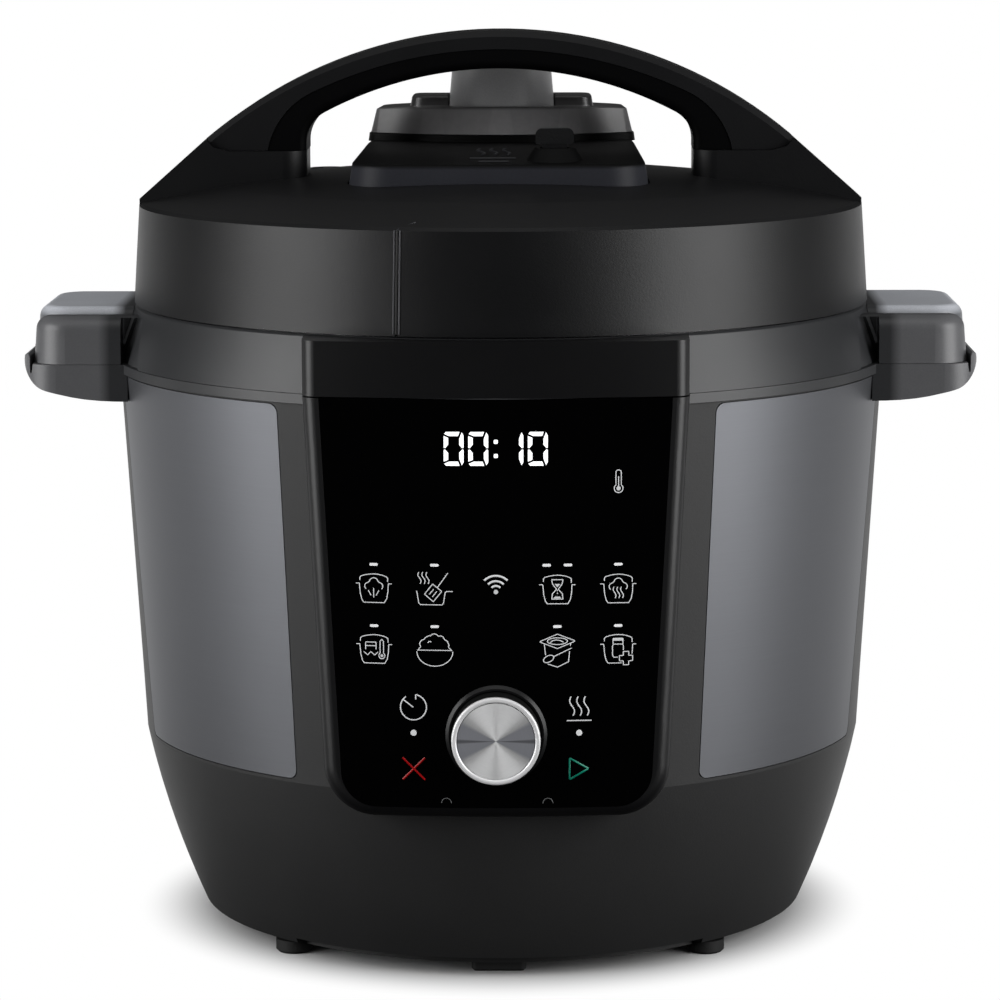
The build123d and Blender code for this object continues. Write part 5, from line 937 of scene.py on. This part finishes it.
class COOKER_OT_moulded_plastics(bpy.types.Operator):
    """Give the housing, lid, rim and handles their moulded finishes."""

    bl_idname = "cooker.moulded_plastics"
    bl_label = "Moulded plastics"

    def execute(self, context):
        p = context.scene.cooker_plastics
        fine = FINE * p.grain
        bowl = plastic("bowl_plastic", p.bowl, roughness=0.52, bump=0.22, Specular_IOR_Level=0.42)
        lid = plastic("lid_plastic", p.lid, roughness=0.42, bump=0.20, Specular_IOR_Level=0.38)
        console = plastic("console_plastic", p.lid, roughness=0.46, bump=0.20, Specular_IOR_Level=0.13)
        grip = plastic("grip_plastic", p.grip, roughness=0.55, bump=0.15, Specular_IOR_Level=0.05)
        chimney = plastic("chimney_plastic", p.chimney, roughness=0.42, bump=0.10, grain=fine)
        rim = plastic("rim_plastic", p.rim, roughness=0.40, bump=0.12, grain=fine, Specular_IOR_Level=0.55)
        pad = plastic("pad_plastic", p.pad, roughness=0.38, bump=0.10, grain=fine, Specular_IOR_Level=0.5)
        switch = plastic(
            "switch_plastic", p.lid, roughness=0.40, bump=0.8, grain=COARSE * p.grain, mottle=0.2,
            Specular_IOR_Level=0.5,
        )
        self.shade_console(console, p.lid)
        self.lighten_handles(rim, p)
        self.shade_pads(pad, p.pad)
        dress(
            bowl,
            "base_housing", "bottom_plate", "power_inlet", "dial_hub", "release_link", "steam_weight",
            "display_module", "pressure_switch",
        )
        dress(lid, "lid_cover", "arch_cover")
        dress(console, "valve_console")
        dress(grip, "arch_grip")
        dress(chimney, "steam_chimney")
        dress(switch, "release_switch")
        dress(rim, "lower_rim", "upper_rim")
        dress(pad, "left_handle_pad", "right_handle_pad")
        return {"FINISHED"}

    def lighten_handles(self, rim, p):
        """Paint light on the side handles beyond the body: the rim's colour blends into a lighter tone there."""
        tree = rim.node_tree
        across = maths(tree, "ABSOLUTE", parts(tree, place(tree))[0])
        beyond = ramp(tree, across, *HANDLE_LIGHT_START)
        recolour(rim, blend(tree, beyond, rgba(p.rim), rgba(p.handle)))

    def shade_console(self, console, tint):
        """Paint shade on the console's sloping top and light on its front, so that the top stays darker than the
        front.
        """
        tree = console.node_tree
        up = parts(tree, place(tree))[2]
        recolour(console, scaled(tree, tint, ramp(tree, up, *CONSOLE_EDGE, *CONSOLE_PAINTED_GAIN)))

    def shade_pads(self, pad, tint):
        """Paint shade on the handle pads towards the rim and down their edges, leaving their tops lighter as painted
        light.
        """
        tree = pad.node_tree
        across, _, up = parts(tree, place(tree))
        out = ramp(tree, maths(tree, "ABSOLUTE", across), *PAD_SHADE_START, PAD_INNER_SHADE)
        rise = ramp(tree, up, *PAD_EDGE, PAD_EDGE_SHADE)
        recolour(pad, scaled(tree, tint, times(tree, out, rise)))


class COOKER_OT_steel_panels(bpy.types.Operator):
    """Give the wrap panels dark steel brushed round the body."""

    bl_idname = "cooker.steel_panels"
    bl_label = "Steel panels"

    def execute(self, context):
        wrap = metal("dark_steel", context.scene.cooker_metals.panel, roughness=0.47, contrast=0.16, bump=0.06)
        dress(wrap, "left_panel", "right_panel", "rear_panel")
        return {"FINISHED"}


class COOKER_OT_control_panel(bpy.types.Operator):
    """Give the header strip, frame and touch panel their gloss blacks."""

    bl_idname = "cooker.control_panel"
    bl_label = "Control panel"

    def execute(self, context):
        p = context.scene.cooker_plastics
        gloss = plastic(
            "gloss_black", p.gloss, roughness=0.36, bump=0.01, grain=0.004, mottle=0.04, Specular_IOR_Level=0.46
        )
        glass = plastic(
            "panel_glass", p.glass, roughness=0.045, bump=0.005, grain=0.006, mottle=0.03, Specular_IOR_Level=0.12
        )
        dress(gloss, "header_strip", "control_bezel", "dial_seat")
        dress(glass, "control_glass")
        return {"FINISHED"}


class COOKER_OT_dial(bpy.types.Operator):
    """Give the dial its polished ring and spun face."""

    bl_idname = "cooker.dial"
    bl_label = "Dial"

    def execute(self, context):
        m = context.scene.cooker_metals
        turned = {"centre": (-DIAL_CENTRE.x, DIAL_CENTRE.z, 0), "turn": (math.pi / 2, 0, 0)}
        face = metal(
            "dial_face", m.face, roughness=0.50, contrast=0.22, bump=0.10, line=0.6 * m.line,
            Metallic=0.75, Anisotropic=0.92, **turned,
        )
        self.shade_wedges(face, m.face)
        trim = metal("dial_trim", m.trim, roughness=0.38, contrast=0.05, bump=0.01, Metallic=0.25, **turned)
        self.darken_side(trim, m.trim)
        dress(face, "dial_face")
        dress(trim, "dial_trim")
        return {"FINISHED"}

    def shade_wedges(self, face, tint):
        """Paint a reflection into the spun face, darker in two wedges left and right with a thin darker line across,
        and turn its sheen round the dial.
        """
        tree = face.node_tree
        moved = next(n for n in tree.nodes if n.type == "MAPPING").outputs[0]
        x, y, _ = parts(tree, moved)
        reach = maths(tree, "MAXIMUM", length(tree, vector(tree, x, y)), 0.0001)
        across = maths(tree, "DIVIDE", maths(tree, "ABSOLUTE", x), reach)
        shade = [w * c for w, c in zip(REFLECTION_TINT, tint)]
        tone = blend(tree, ramp(tree, across, *REFLECTION_EDGE), rgba(tint), rgba(shade))
        recolour(face, scaled(tree, tone, ramp(tree, across, *WEDGE_LINE, 1.0, REFLECTION_LINE_GAIN)))
        shader = next(n for n in tree.nodes if n.type == "BSDF_PRINCIPLED")
        around = output(tree, "ShaderNodeTangent", direction_type="RADIAL", axis="Y")
        tree.links.new(around, shader.inputs["Tangent"])

    def darken_side(self, trim, tint):
        """Keep the bright ring to the front of the dial, with a black side behind it."""
        tree = trim.node_tree
        along = parts(tree, place(tree))[1]
        recolour(trim, scaled(tree, tint, ramp(tree, along, *TRIM_SIDE, 1.0, TRIM_SIDE_GAIN)))


class COOKER_OT_steam_cover(bpy.types.Operator):
    """Give the steam cover and the condensation cup smoky translucent plastic."""

    bl_idname = "cooker.steam_cover"
    bl_label = "Steam cover"

    def execute(self, context):
        tint = context.scene.cooker_plastics.smoke
        smoke = plastic(
            "smoky_plastic", tint, roughness=0.30, bump=0.03, grain=0.003, mottle=0.10,
            Transmission_Weight=0.35, IOR=1.49, Specular_IOR_Level=0.4,
        )
        self.show_ribs(smoke, tint)
        dress(smoke, "steam_cover", "condensation_cup")
        return {"FINISHED"}

    def show_ribs(self, smoke, tint):
        """Paint light on the front of the cover, more so where the ribs behind it show through; the top keeps the
        dark tint.
        """
        tree = smoke.node_tree
        x, y, z = parts(tree, place(tree))
        half = ramp(tree, z, COVER_LOW.z, COVER_LOW.z + RIB_HEIGHT, RIB_LOW, RIB_TOP)
        offset = maths(tree, "ABSOLUTE", maths(tree, "WRAP", x, RIB_PITCH / 2, -RIB_PITCH / 2))
        rib = ramp(tree, maths(tree, "SUBTRACT", half, offset), -RIB_SOFT, RIB_SOFT)
        inside = maths(tree, "LESS_THAN", maths(tree, "ABSOLUTE", x), RIB_REACH * RIB_PITCH)
        front = maths(tree, "LESS_THAN", y, COVER_LOW.y + COVER_FRONT)
        face = ramp(tree, z, COVER_EDGE_Z - COVER_EDGE_SOFT, COVER_EDGE_Z, 1.0, 0.0)
        painted_light = plus(tree, COVER_PAINTED_LIGHT, times(tree, rib, inside, RIB_PAINTED_LIGHT))
        recolour(smoke, scaled(tree, tint, plus(tree, 1.0, times(tree, face, front, painted_light))))


class COOKER_OT_pot_metal(bpy.types.Operator):
    """Give the pot, heater, lid plate and valves their steels and aluminium."""

    bl_idname = "cooker.pot_metal"
    bl_label = "Pot and lid metal"

    def execute(self, context):
        m = context.scene.cooker_metals
        steel = metal("bright_steel", m.steel, roughness=0.26, contrast=0.16, bump=0.06)
        cast = metal("cast_aluminium", m.cast, roughness=0.42, contrast=0.22, bump=0.12, line=2 * m.line)
        dress(
            steel,
            "heater_pot", "sensor_seat", "sensor_spring", "inner_pot", "steel_lid", "ring_rack", "vent_pipe",
            "pipe_nut", "steam_shield", "switch_pin", "float_pin",
        )
        dress(cast, "heating_plate", "temperature_sensor")
        return {"FINISHED"}


class COOKER_OT_seals_and_feet(bpy.types.Operator):
    """Give the sealing ring its silicone and the feet their rubber."""

    bl_idname = "cooker.seals_and_feet"
    bl_label = "Seals and feet"

    def execute(self, context):
        silicone = plastic(
            "silicone", (0.62, 0.63, 0.64), roughness=0.36, bump=0.06, grain=0.0012, mottle=0.08,
            Subsurface_Weight=0.25, Subsurface_Radius=(0.004, 0.004, 0.004), Subsurface_Scale=1.0,
        )
        rubber = plastic("foot_rubber", (0.012, 0.012, 0.012), roughness=0.72, bump=0.35, grain=0.0005, mottle=0.10)
        dress(silicone, "sealing_ring", "float_seal")
        dress(rubber, "feet")
        return {"FINISHED"}


class COOKER_OT_electrics(bpy.types.Operator):
    """Give the boards, encoder, spacers and inlet pins their finishes."""

    bl_idname = "cooker.electrics"
    bl_label = "Electrics"

    def execute(self, context):
        m = context.scene.cooker_metals
        board = plastic("circuit_board", (0.012, 0.085, 0.035), roughness=0.35, bump=0.05, grain=0.0016, mottle=0.30)
        zinc = metal("zinc_plate", m.zinc, roughness=0.34, contrast=0.14, bump=0.04)
        brass = metal("pin_brass", m.brass, roughness=0.28, contrast=0.12, bump=0.03)
        dress(board, "control_board", "power_board")
        dress(zinc, "board_screws", "handle_screws", "encoder", "encoder_shaft", "pot_spacers")
        dress(brass, "inlet_pins")
        return {"FINISHED"}


class COOKER_OT_display_digits(bpy.types.Operator):
    """Lay the lit digits on the touch panel."""

    bl_idname = "cooker.display_digits"
    bl_label = "Display digits"

    def execute(self, context):
        prints = context.scene.cooker_prints
        shapes = []
        for symbol, u in zip(prints.hours, DIGIT_AT):
            shapes += digit(symbol, u, DIGIT_Z)
        for v in (DIGIT_Z - COLON_V, DIGIT_Z + COLON_V):
            shapes += move([COLON_DOT], COLON_U, v)
        lit = backlit("display_light", prints.lit, glow=0.95)
        lay_print("display_digits", shape_drawing("digits", facing_up(shapes)), lit, prints.stroke)
        return {"FINISHED"}


class COOKER_OT_panel_icons(bpy.types.Operator):
    """Lay the programme icons and key icons on the touch panel."""

    bl_idname = "cooker.panel_icons"
    bl_label = "Panel icons"

    def execute(self, context):
        stroke = context.scene.cooker_prints.stroke
        ink = backlit("icon_print", context.scene.cooker_prints.icon, glow=0.38)
        fine = []
        for draw, spot in PROGRAMMES.items():
            fine += move(draw(), *spot, ICON_WIDE, ICON_HIGH)
        fine += move(thermometer(), *THERMOMETER_AT)
        lay_print("programme_icons", line_drawing("programmes", fine), ink, stroke, ICON_CORNER)
        keys = move(timer(), -SIDE_KEYS, KEY_ROW + 0.8) + move(keep_warm(), SIDE_KEYS, KEY_ROW + 0.3)
        lay_print("key_icons", line_drawing("keys", keys), ink, KEY_STROKE * stroke)
        signal = move(wireless(), *SIGNAL_AT)
        lay_print("signal_icon", line_drawing("signal", signal), ink, SIGNAL_STROKE * stroke)
        return {"FINISHED"}


class COOKER_OT_indicators(bpy.types.Operator):
    """Lay the level bars, key lamps, filled icon parts and sensor notches on the touch panel."""

    bl_idname = "cooker.indicators"
    bl_label = "Indicators"

    def execute(self, context):
        prints = context.scene.cooker_prints
        lit = backlit("indicator_light", prints.lit, glow=0.16)
        shapes = []
        for draw, (u, v) in PROGRAMMES.items():
            spots = (-BAR_PAIR, BAR_PAIR) if draw is slow_cooking else (0.0,)
            row = ROW_ONE if v > (ROW_ONE + ROW_TWO) / 2 else ROW_TWO
            shapes += [bar(u + spot, row + BAR_UP, BAR_WIDE, BAR_HIGH) for spot in spots]
        shapes += [disc(side * SIDE_KEYS, LAMP_ROW, 1.0) for side in (-1, 1)]
        lay_print("level_bars", shape_drawing("bars", shapes), lit, prints.stroke)
        ink = backlit("icon_fill", prints.icon, glow=0.22)
        fills = [disc(*SIGNAL_AT, 0.72), disc(THERMOMETER_AT[0], THERMOMETER_AT[1] - BULB_DOWN, 0.7)]
        for draw, filled in ICON_FILLS.items():
            fills += move(filled, *PROGRAMMES[draw], ICON_WIDE, ICON_HIGH)
        lay_print("icon_fills", shape_drawing("fills", facing_up(fills)), ink, prints.stroke)
        dim = backlit("sensor_mark", [0.25 * c for c in prints.icon], glow=0.05)
        notches = [arc(u, NOTCH_Z, NOTCH_R, 180, 0, 14) for u in SENSOR_NOTCHES]
        lay_print("sensor_notches", line_drawing("notches", notches), dim, NOTCH_STROKE * prints.stroke)
        return {"FINISHED"}


class COOKER_OT_function_marks(bpy.types.Operator):
    """Lay the red cross and the green triangle on the touch panel."""

    bl_idname = "cooker.function_marks"
    bl_label = "Cancel and start marks"

    def execute(self, context):
        prints = context.scene.cooker_prints
        a = CROSS_HALF
        cross = move([[(-a, -a), (a, a)], [(-a, a), (a, -a)]], -SIDE_KEYS, MARK_ROW)
        red = backlit("cancel_print", prints.cancel, glow=0.38)
        lay_print("cancel_cross", line_drawing("cross", cross), red, CANCEL_STROKE * prints.stroke)
        triangle = line_drawing("triangle", move([START_TRIANGLE], SIDE_KEYS, MARK_ROW))
        green = backlit("start_print", prints.start, glow=0.30)
        lay_print("start_triangle", triangle, green, START_STROKE * prints.stroke, START_CORNER)
        return {"FINISHED"}


class COOKER_OT_screws(bpy.types.Operator):
    """Put cross-recess screws where the plain screw solids stand."""

    bl_idname = "cooker.screws"
    bl_label = "Screws"

    def execute(self, context):
        f = context.scene.cooker_fasteners
        tint = context.scene.cooker_metals.zinc
        zinc = metal("screw_zinc", tint, roughness=0.30, contrast=0.18, bump=0.05, line=0.0002)
        for name, body in (("bottom_screws", "base"), ("rim_screws", "base"), ("lid_screws", "lid")):
            low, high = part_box(name)
            spots = self.corners(high.x - f.head, high.y - f.head, f.head)
            points = new_mesh(name + "_points", [(u, v, low.z + f.rise / 2) for u, v in spots])
            values = {
                "Head Radius": f.head,
                "Head Height": f.rise,
                "Shank Radius": f.shank,
                "Shank Length": high.z - low.z - f.rise,
                "Recess": f.recess,
                "Material": zinc,
            }
            made = grow("cross_" + name, points, screw_set(), values)
            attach(made, body)
            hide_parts(name)
        return {"FINISHED"}

    def corners(self, x, y, near):
        """Places of four screws: on a ring if they reach as far in X as in Y, or else on a rectangle."""
        if abs(x - y) >= near:
            return [(side * x, end * y) for side in (-1, 1) for end in (-1, 1)]
        r = x / math.cos(math.radians(SCREW_DEGREES))
        turns = [math.radians(SCREW_DEGREES + 90 * i) for i in range(4)]
        return [(r * math.cos(turn), r * math.sin(turn)) for turn in turns]


class COOKER_OT_sensor_spring(bpy.types.Operator):
    """Put a coil spring under the temperature sensor."""

    bl_idname = "cooker.sensor_spring"
    bl_label = "Sensor spring"

    def execute(self, context):
        f = context.scene.cooker_fasteners
        tint = context.scene.cooker_metals.steel
        steel = metal("spring_steel", tint, roughness=0.24, contrast=0.10, bump=0.03, line=0.0002)
        low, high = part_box("sensor_spring")
        middle = (low + high) / 2
        foot = new_mesh("spring_foot", [(middle.x, middle.y, low.z + f.wire)])
        values = {
            "Radius": (high.x - low.x) / 2 - f.wire,
            "Wire Radius": f.wire,
            "Length": high.z - low.z - 2 * f.wire,
            "Turns": f.turns,
            "Material": steel,
        }
        made = grow("coiled_sensor_spring", foot, coil_spring(), values)
        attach(made, "base")
        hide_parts("sensor_spring")
        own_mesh(made)
        return {"FINISHED"}


class COOKER_OT_lid_marks(bpy.types.Operator):
    """Raise the small steam mark on the console beside the release switch."""

    bl_idname = "cooker.lid_marks"
    bl_label = "Lid marks"

    def execute(self, context):
        tint = [5 * c for c in context.scene.cooker_plastics.lid]
        mark = plastic("lid_mark", tint, roughness=0.36, bump=0.1)
        drawing = line_drawing("steam", STEAM_MARK)
        for point in drawing.vertices:
            point.co.z = CONSOLE_LIP_Z + CONSOLE_SLOPE * (point.co.y + CONSOLE_FRONT)
        lay_strip("steam_mark", drawing, MARK_WIDTH, mark)
        return {"FINISHED"}


class COOKER_OT_skirt_seam(bpy.types.Operator):
    """Raise the two edges of the joint in the lid's skirt and the tick where it reaches the top, as painted
    highlights either side of the dark gap.
    """

    bl_idname = "cooker.skirt_seam"
    bl_label = "Skirt seam"

    def execute(self, context):
        lid = context.scene.cooker_plastics.lid
        # The light strips on the seam's edges and tick are painted highlights.
        edge = plastic("seam_edge", [9 * c for c in lid], roughness=0.34, bump=0.1)
        gap = plastic("seam_gap", [0.3 * c for c in lid], roughness=0.60, bump=0.1)
        edges = [self.upright(SEAM_TURN + side * SEAM_HALF) for side in (-1, 1)]
        tick = [self.on_dome(SEAM_TURN, TICK_OUT), self.on_dome(TICK_LEAN * SEAM_TURN, TICK_IN)]
        self.lay_lines("seam_edges", edges + [tick], SEAM_EDGE_WIDTH, edge)
        self.lay_lines("seam_gap", [self.upright(SEAM_TURN)], SEAM_GAP_WIDTH, gap)
        return {"FINISHED"}

    def lay_lines(self, name, lines, width, material):
        """Strips along straight lines on the lid."""
        points = [spot for line in lines for spot in line]
        edges = [(i, i + 1) for i in range(0, len(points), 2)]
        lay_strip(name, new_mesh(name + "_lines", points, edges), width, material)

    def upright(self, turn):
        """Ends of a line up the skirt at an angle left of the front."""
        ends = ((SKIRT_R, SKIRT_Z + 0.0006), (SKIRT_TOP_R, SKIRT_TOP_Z - 0.0008))
        return [(-r * math.sin(turn), -r * math.cos(turn), z) for r, z in ends]

    def on_dome(self, turn, r):
        """A point on top of the lid at an angle left of the front."""
        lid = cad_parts["lid_cover"]
        back = lid.matrix_world.inverted()
        start = back @ Vector((-r * math.sin(turn), -r * math.cos(turn), OVER_LID_Z))
        hit, spot, _, _ = lid.ray_cast(start, back.to_3x3() @ Vector((0, 0, -1)))
        if not hit:
            raise RuntimeError("no lid under the seam's tick")
        return tuple(lid.matrix_world @ spot)


class COOKER_OT_arch_tongue(bpy.types.Operator):
    """Close the joint between the arch's cover and grip with a thin tongue."""

    bl_idname = "cooker.arch_tongue"
    bl_label = "Arch tongue"

    def execute(self, context):
        tint = context.scene.cooker_plastics.grip
        dark = plastic("tongue_plastic", tint, roughness=0.60, bump=0.1, Specular_IOR_Level=0.1)
        middle_z = JOINT_TOP_Z - JOINT_R
        side_x = JOINT_HALF - JOINT_ROUND
        side_z = middle_z + math.sqrt((JOINT_R - JOINT_ROUND) ** 2 - side_x ** 2)
        turn = math.degrees(math.atan2(side_z - middle_z, side_x))
        foot = math.degrees(math.asin((JOINT_FOOT_Z - side_z) / JOINT_ROUND))
        right = arc(0, middle_z, JOINT_R, 90, turn, 20) + arc(side_x, side_z, JOINT_ROUND, turn, foot, 12)[1:]
        drawing = line_drawing("tongue", [[(-u, v) for u, v in reversed(right)] + right[1:]])
        for point in drawing.vertices:
            point.co = (point.co.x, 0.0, point.co.y)
        lay_strip("arch_tongue", drawing, TONGUE_WIDTH, dark)
        return {"FINISHED"}


class COOKER_OT_stage(bpy.types.Operator):
    """Set up the camera, lamps, floor and white background."""

    bl_idname = "cooker.stage"
    bl_label = "Stage"

    def execute(self, context):
        s = context.scene.cooker_stage
        self.camera(context, s)
        self.world(context)
        self.floor(s)
        for side, (spot, wide, high) in LAMPS.items():
            self.lamp(side + "_lamp", spot, getattr(s, side), wide, high)
        context.scene.view_settings.view_transform = "Standard"
        return {"FINISHED"}

    def camera(self, context, s):
        """Camera at the photograph's place."""
        data = bpy.data.cameras.new("camera")
        data.lens = s.lens
        data.sensor_width = 36.0
        camera = add_object("camera", data)
        spot = Vector((s.aside, -s.reach, s.height))
        aim = Vector((s.aim, 0, s.height - s.reach * math.tan(s.tilt)))
        turn = (aim - spot).to_track_quat("-Z", "Y").to_matrix().to_4x4()
        roll = Matrix.Rotation(math.radians(CAMERA_ROLL), 4, "Z")
        camera.matrix_world = Matrix.Translation(spot) @ turn @ roll
        context.scene.camera = camera

    def lamp(self, name, spot, watts, wide, high):
        """A soft rectangular lamp that looks at the cooker."""
        data = bpy.data.lights.new(name, "AREA")
        data.shape = "RECTANGLE"
        data.size = wide
        data.size_y = high
        data.energy = watts
        lamp = add_object(name, data)
        lamp.location = spot
        lamp.rotation_euler = (LAMP_AIM - Vector(spot)).to_track_quat("-Z", "Y").to_euler()

    def seen(self, tree, mirrored):
        """Full for the camera, and the given share in reflections and through clear pieces."""
        rays = add_node(tree, "ShaderNodeLightPath").outputs
        bounced = maths(tree, "MAXIMUM", rays["Is Glossy Ray"], rays["Is Transmission Ray"])
        return maths(tree, "MAXIMUM", rays["Is Camera Ray"], times(tree, bounced, mirrored))

    def world(self, context):
        """White behind the cooker, soft light from above, and a dark room in front."""
        world = bpy.data.worlds.new("studio")
        world.use_nodes = True
        context.scene.world = world
        tree = world.node_tree
        tree.nodes.clear()
        _, y, z = parts(tree, place(tree, "Generated"))
        soft = ramp(tree, z, *SKY_START, *SKY_LEVEL)
        behind = times(tree, ramp(tree, y, *BEHIND_START), ramp(tree, z, *BELOW_END, 1.0, 0.0))
        level = maths(tree, "MAXIMUM", soft, self.seen(tree, behind))
        shade = output(tree, "ShaderNodeBackground", {"Color": WHITE, "Strength": level})
        add_node(tree, "ShaderNodeOutputWorld", {"Surface": shade})

    def floor(self, s):
        """A pale floor that keeps the shadow and fades into the background."""
        corners = [(-FLOOR_SIDE, FLOOR_NEAR, 0), (FLOOR_SIDE, FLOOR_NEAR, 0)]
        corners += [(FLOOR_SIDE, FLOOR_FAR, 0), (-FLOOR_SIDE, FLOOR_FAR, 0)]
        mesh = new_mesh("floor", corners, faces=[(0, 1, 2, 3)])
        material, tree = empty_material("floor")
        spot = place(tree)
        reach = length(tree, spot)
        fade = ramp(tree, reach, *FLOOR_FADE, interpolation_type="SMOOTHSTEP")
        along = maths(tree, "DIVIDE", parts(tree, spot)[1], reach)
        seen = self.seen(tree, ramp(tree, along, *FLOOR_MIRROR))
        dim = scaled(tree, WHITE[:3], ramp(tree, along, *FLOOR_BOUNCE, *FLOOR_LEVEL))
        watched = add_node(tree, "ShaderNodeLightPath").outputs["Is Camera Ray"]
        tone = blend(tree, watched, dim, rgba(s.floor))
        matte = output(tree, "ShaderNodeBsdfDiffuse", {"Color": tone})
        white = output(tree, "ShaderNodeEmission", {"Color": WHITE, "Strength": 1.0})
        mixed = output(tree, "ShaderNodeMixShader", {0: times(tree, fade, seen), 1: matte, 2: white})
        add_node(tree, "ShaderNodeOutputMaterial", {"Surface": mixed})
        mesh.materials.append(material)
        add_object("floor", mesh)


class COOKER_PT_sidebar(bpy.types.Panel):
    """Settings and steps of the cooker."""

    bl_idname = "COOKER_PT_sidebar"
    bl_label = "Pressure cooker"
    bl_space_type = "VIEW_3D"
    bl_region_type = "UI"
    bl_category = "Cooker"

    def draw(self, context):
        for group in SETTINGS:
            box = self.layout.box()
            for key in SETTINGS[group].__annotations__:
                box.prop(getattr(context.scene, group), key)
        for step in STEPS:
            self.layout.operator(step.bl_idname)


SETTINGS = {
    "cooker_plastics": CookerPlastics,
    "cooker_metals": CookerMetals,
    "cooker_prints": CookerPrints,
    "cooker_fasteners": CookerFasteners,
    "cooker_stage": CookerStage,
}
STEPS = (
    COOKER_OT_moulded_plastics,
    COOKER_OT_steel_panels,
    COOKER_OT_control_panel,
    COOKER_OT_dial,
    COOKER_OT_steam_cover,
    COOKER_OT_pot_metal,
    COOKER_OT_seals_and_feet,
    COOKER_OT_electrics,
    COOKER_OT_display_digits,
    COOKER_OT_panel_icons,
    COOKER_OT_indicators,
    COOKER_OT_function_marks,
    COOKER_OT_screws,
    COOKER_OT_sensor_spring,
    COOKER_OT_lid_marks,
    COOKER_OT_skirt_seam,
    COOKER_OT_arch_tongue,
    COOKER_OT_stage,
)


def register():
    """Register the settings, steps and sidebar."""
    for name, kind in SETTINGS.items():
        bpy.utils.register_class(kind)
        setattr(bpy.types.Scene, name, bpy.props.PointerProperty(type=kind))
    for kind in STEPS + (COOKER_PT_sidebar,):
        bpy.utils.register_class(kind)


def unregister():
    """Take the settings, steps and sidebar away again."""
    for kind in (COOKER_PT_sidebar,) + STEPS:
        bpy.utils.unregister_class(kind)
    for name, kind in SETTINGS.items():
        delattr(bpy.types.Scene, name)
        bpy.utils.unregister_class(kind)


def main():
    """Build the looks in order."""
    register()
    for step in STEPS:
        group, name = step.bl_idname.split(".")
        getattr(getattr(bpy.ops, group), name)()


if __name__ == "__main__":
    main()
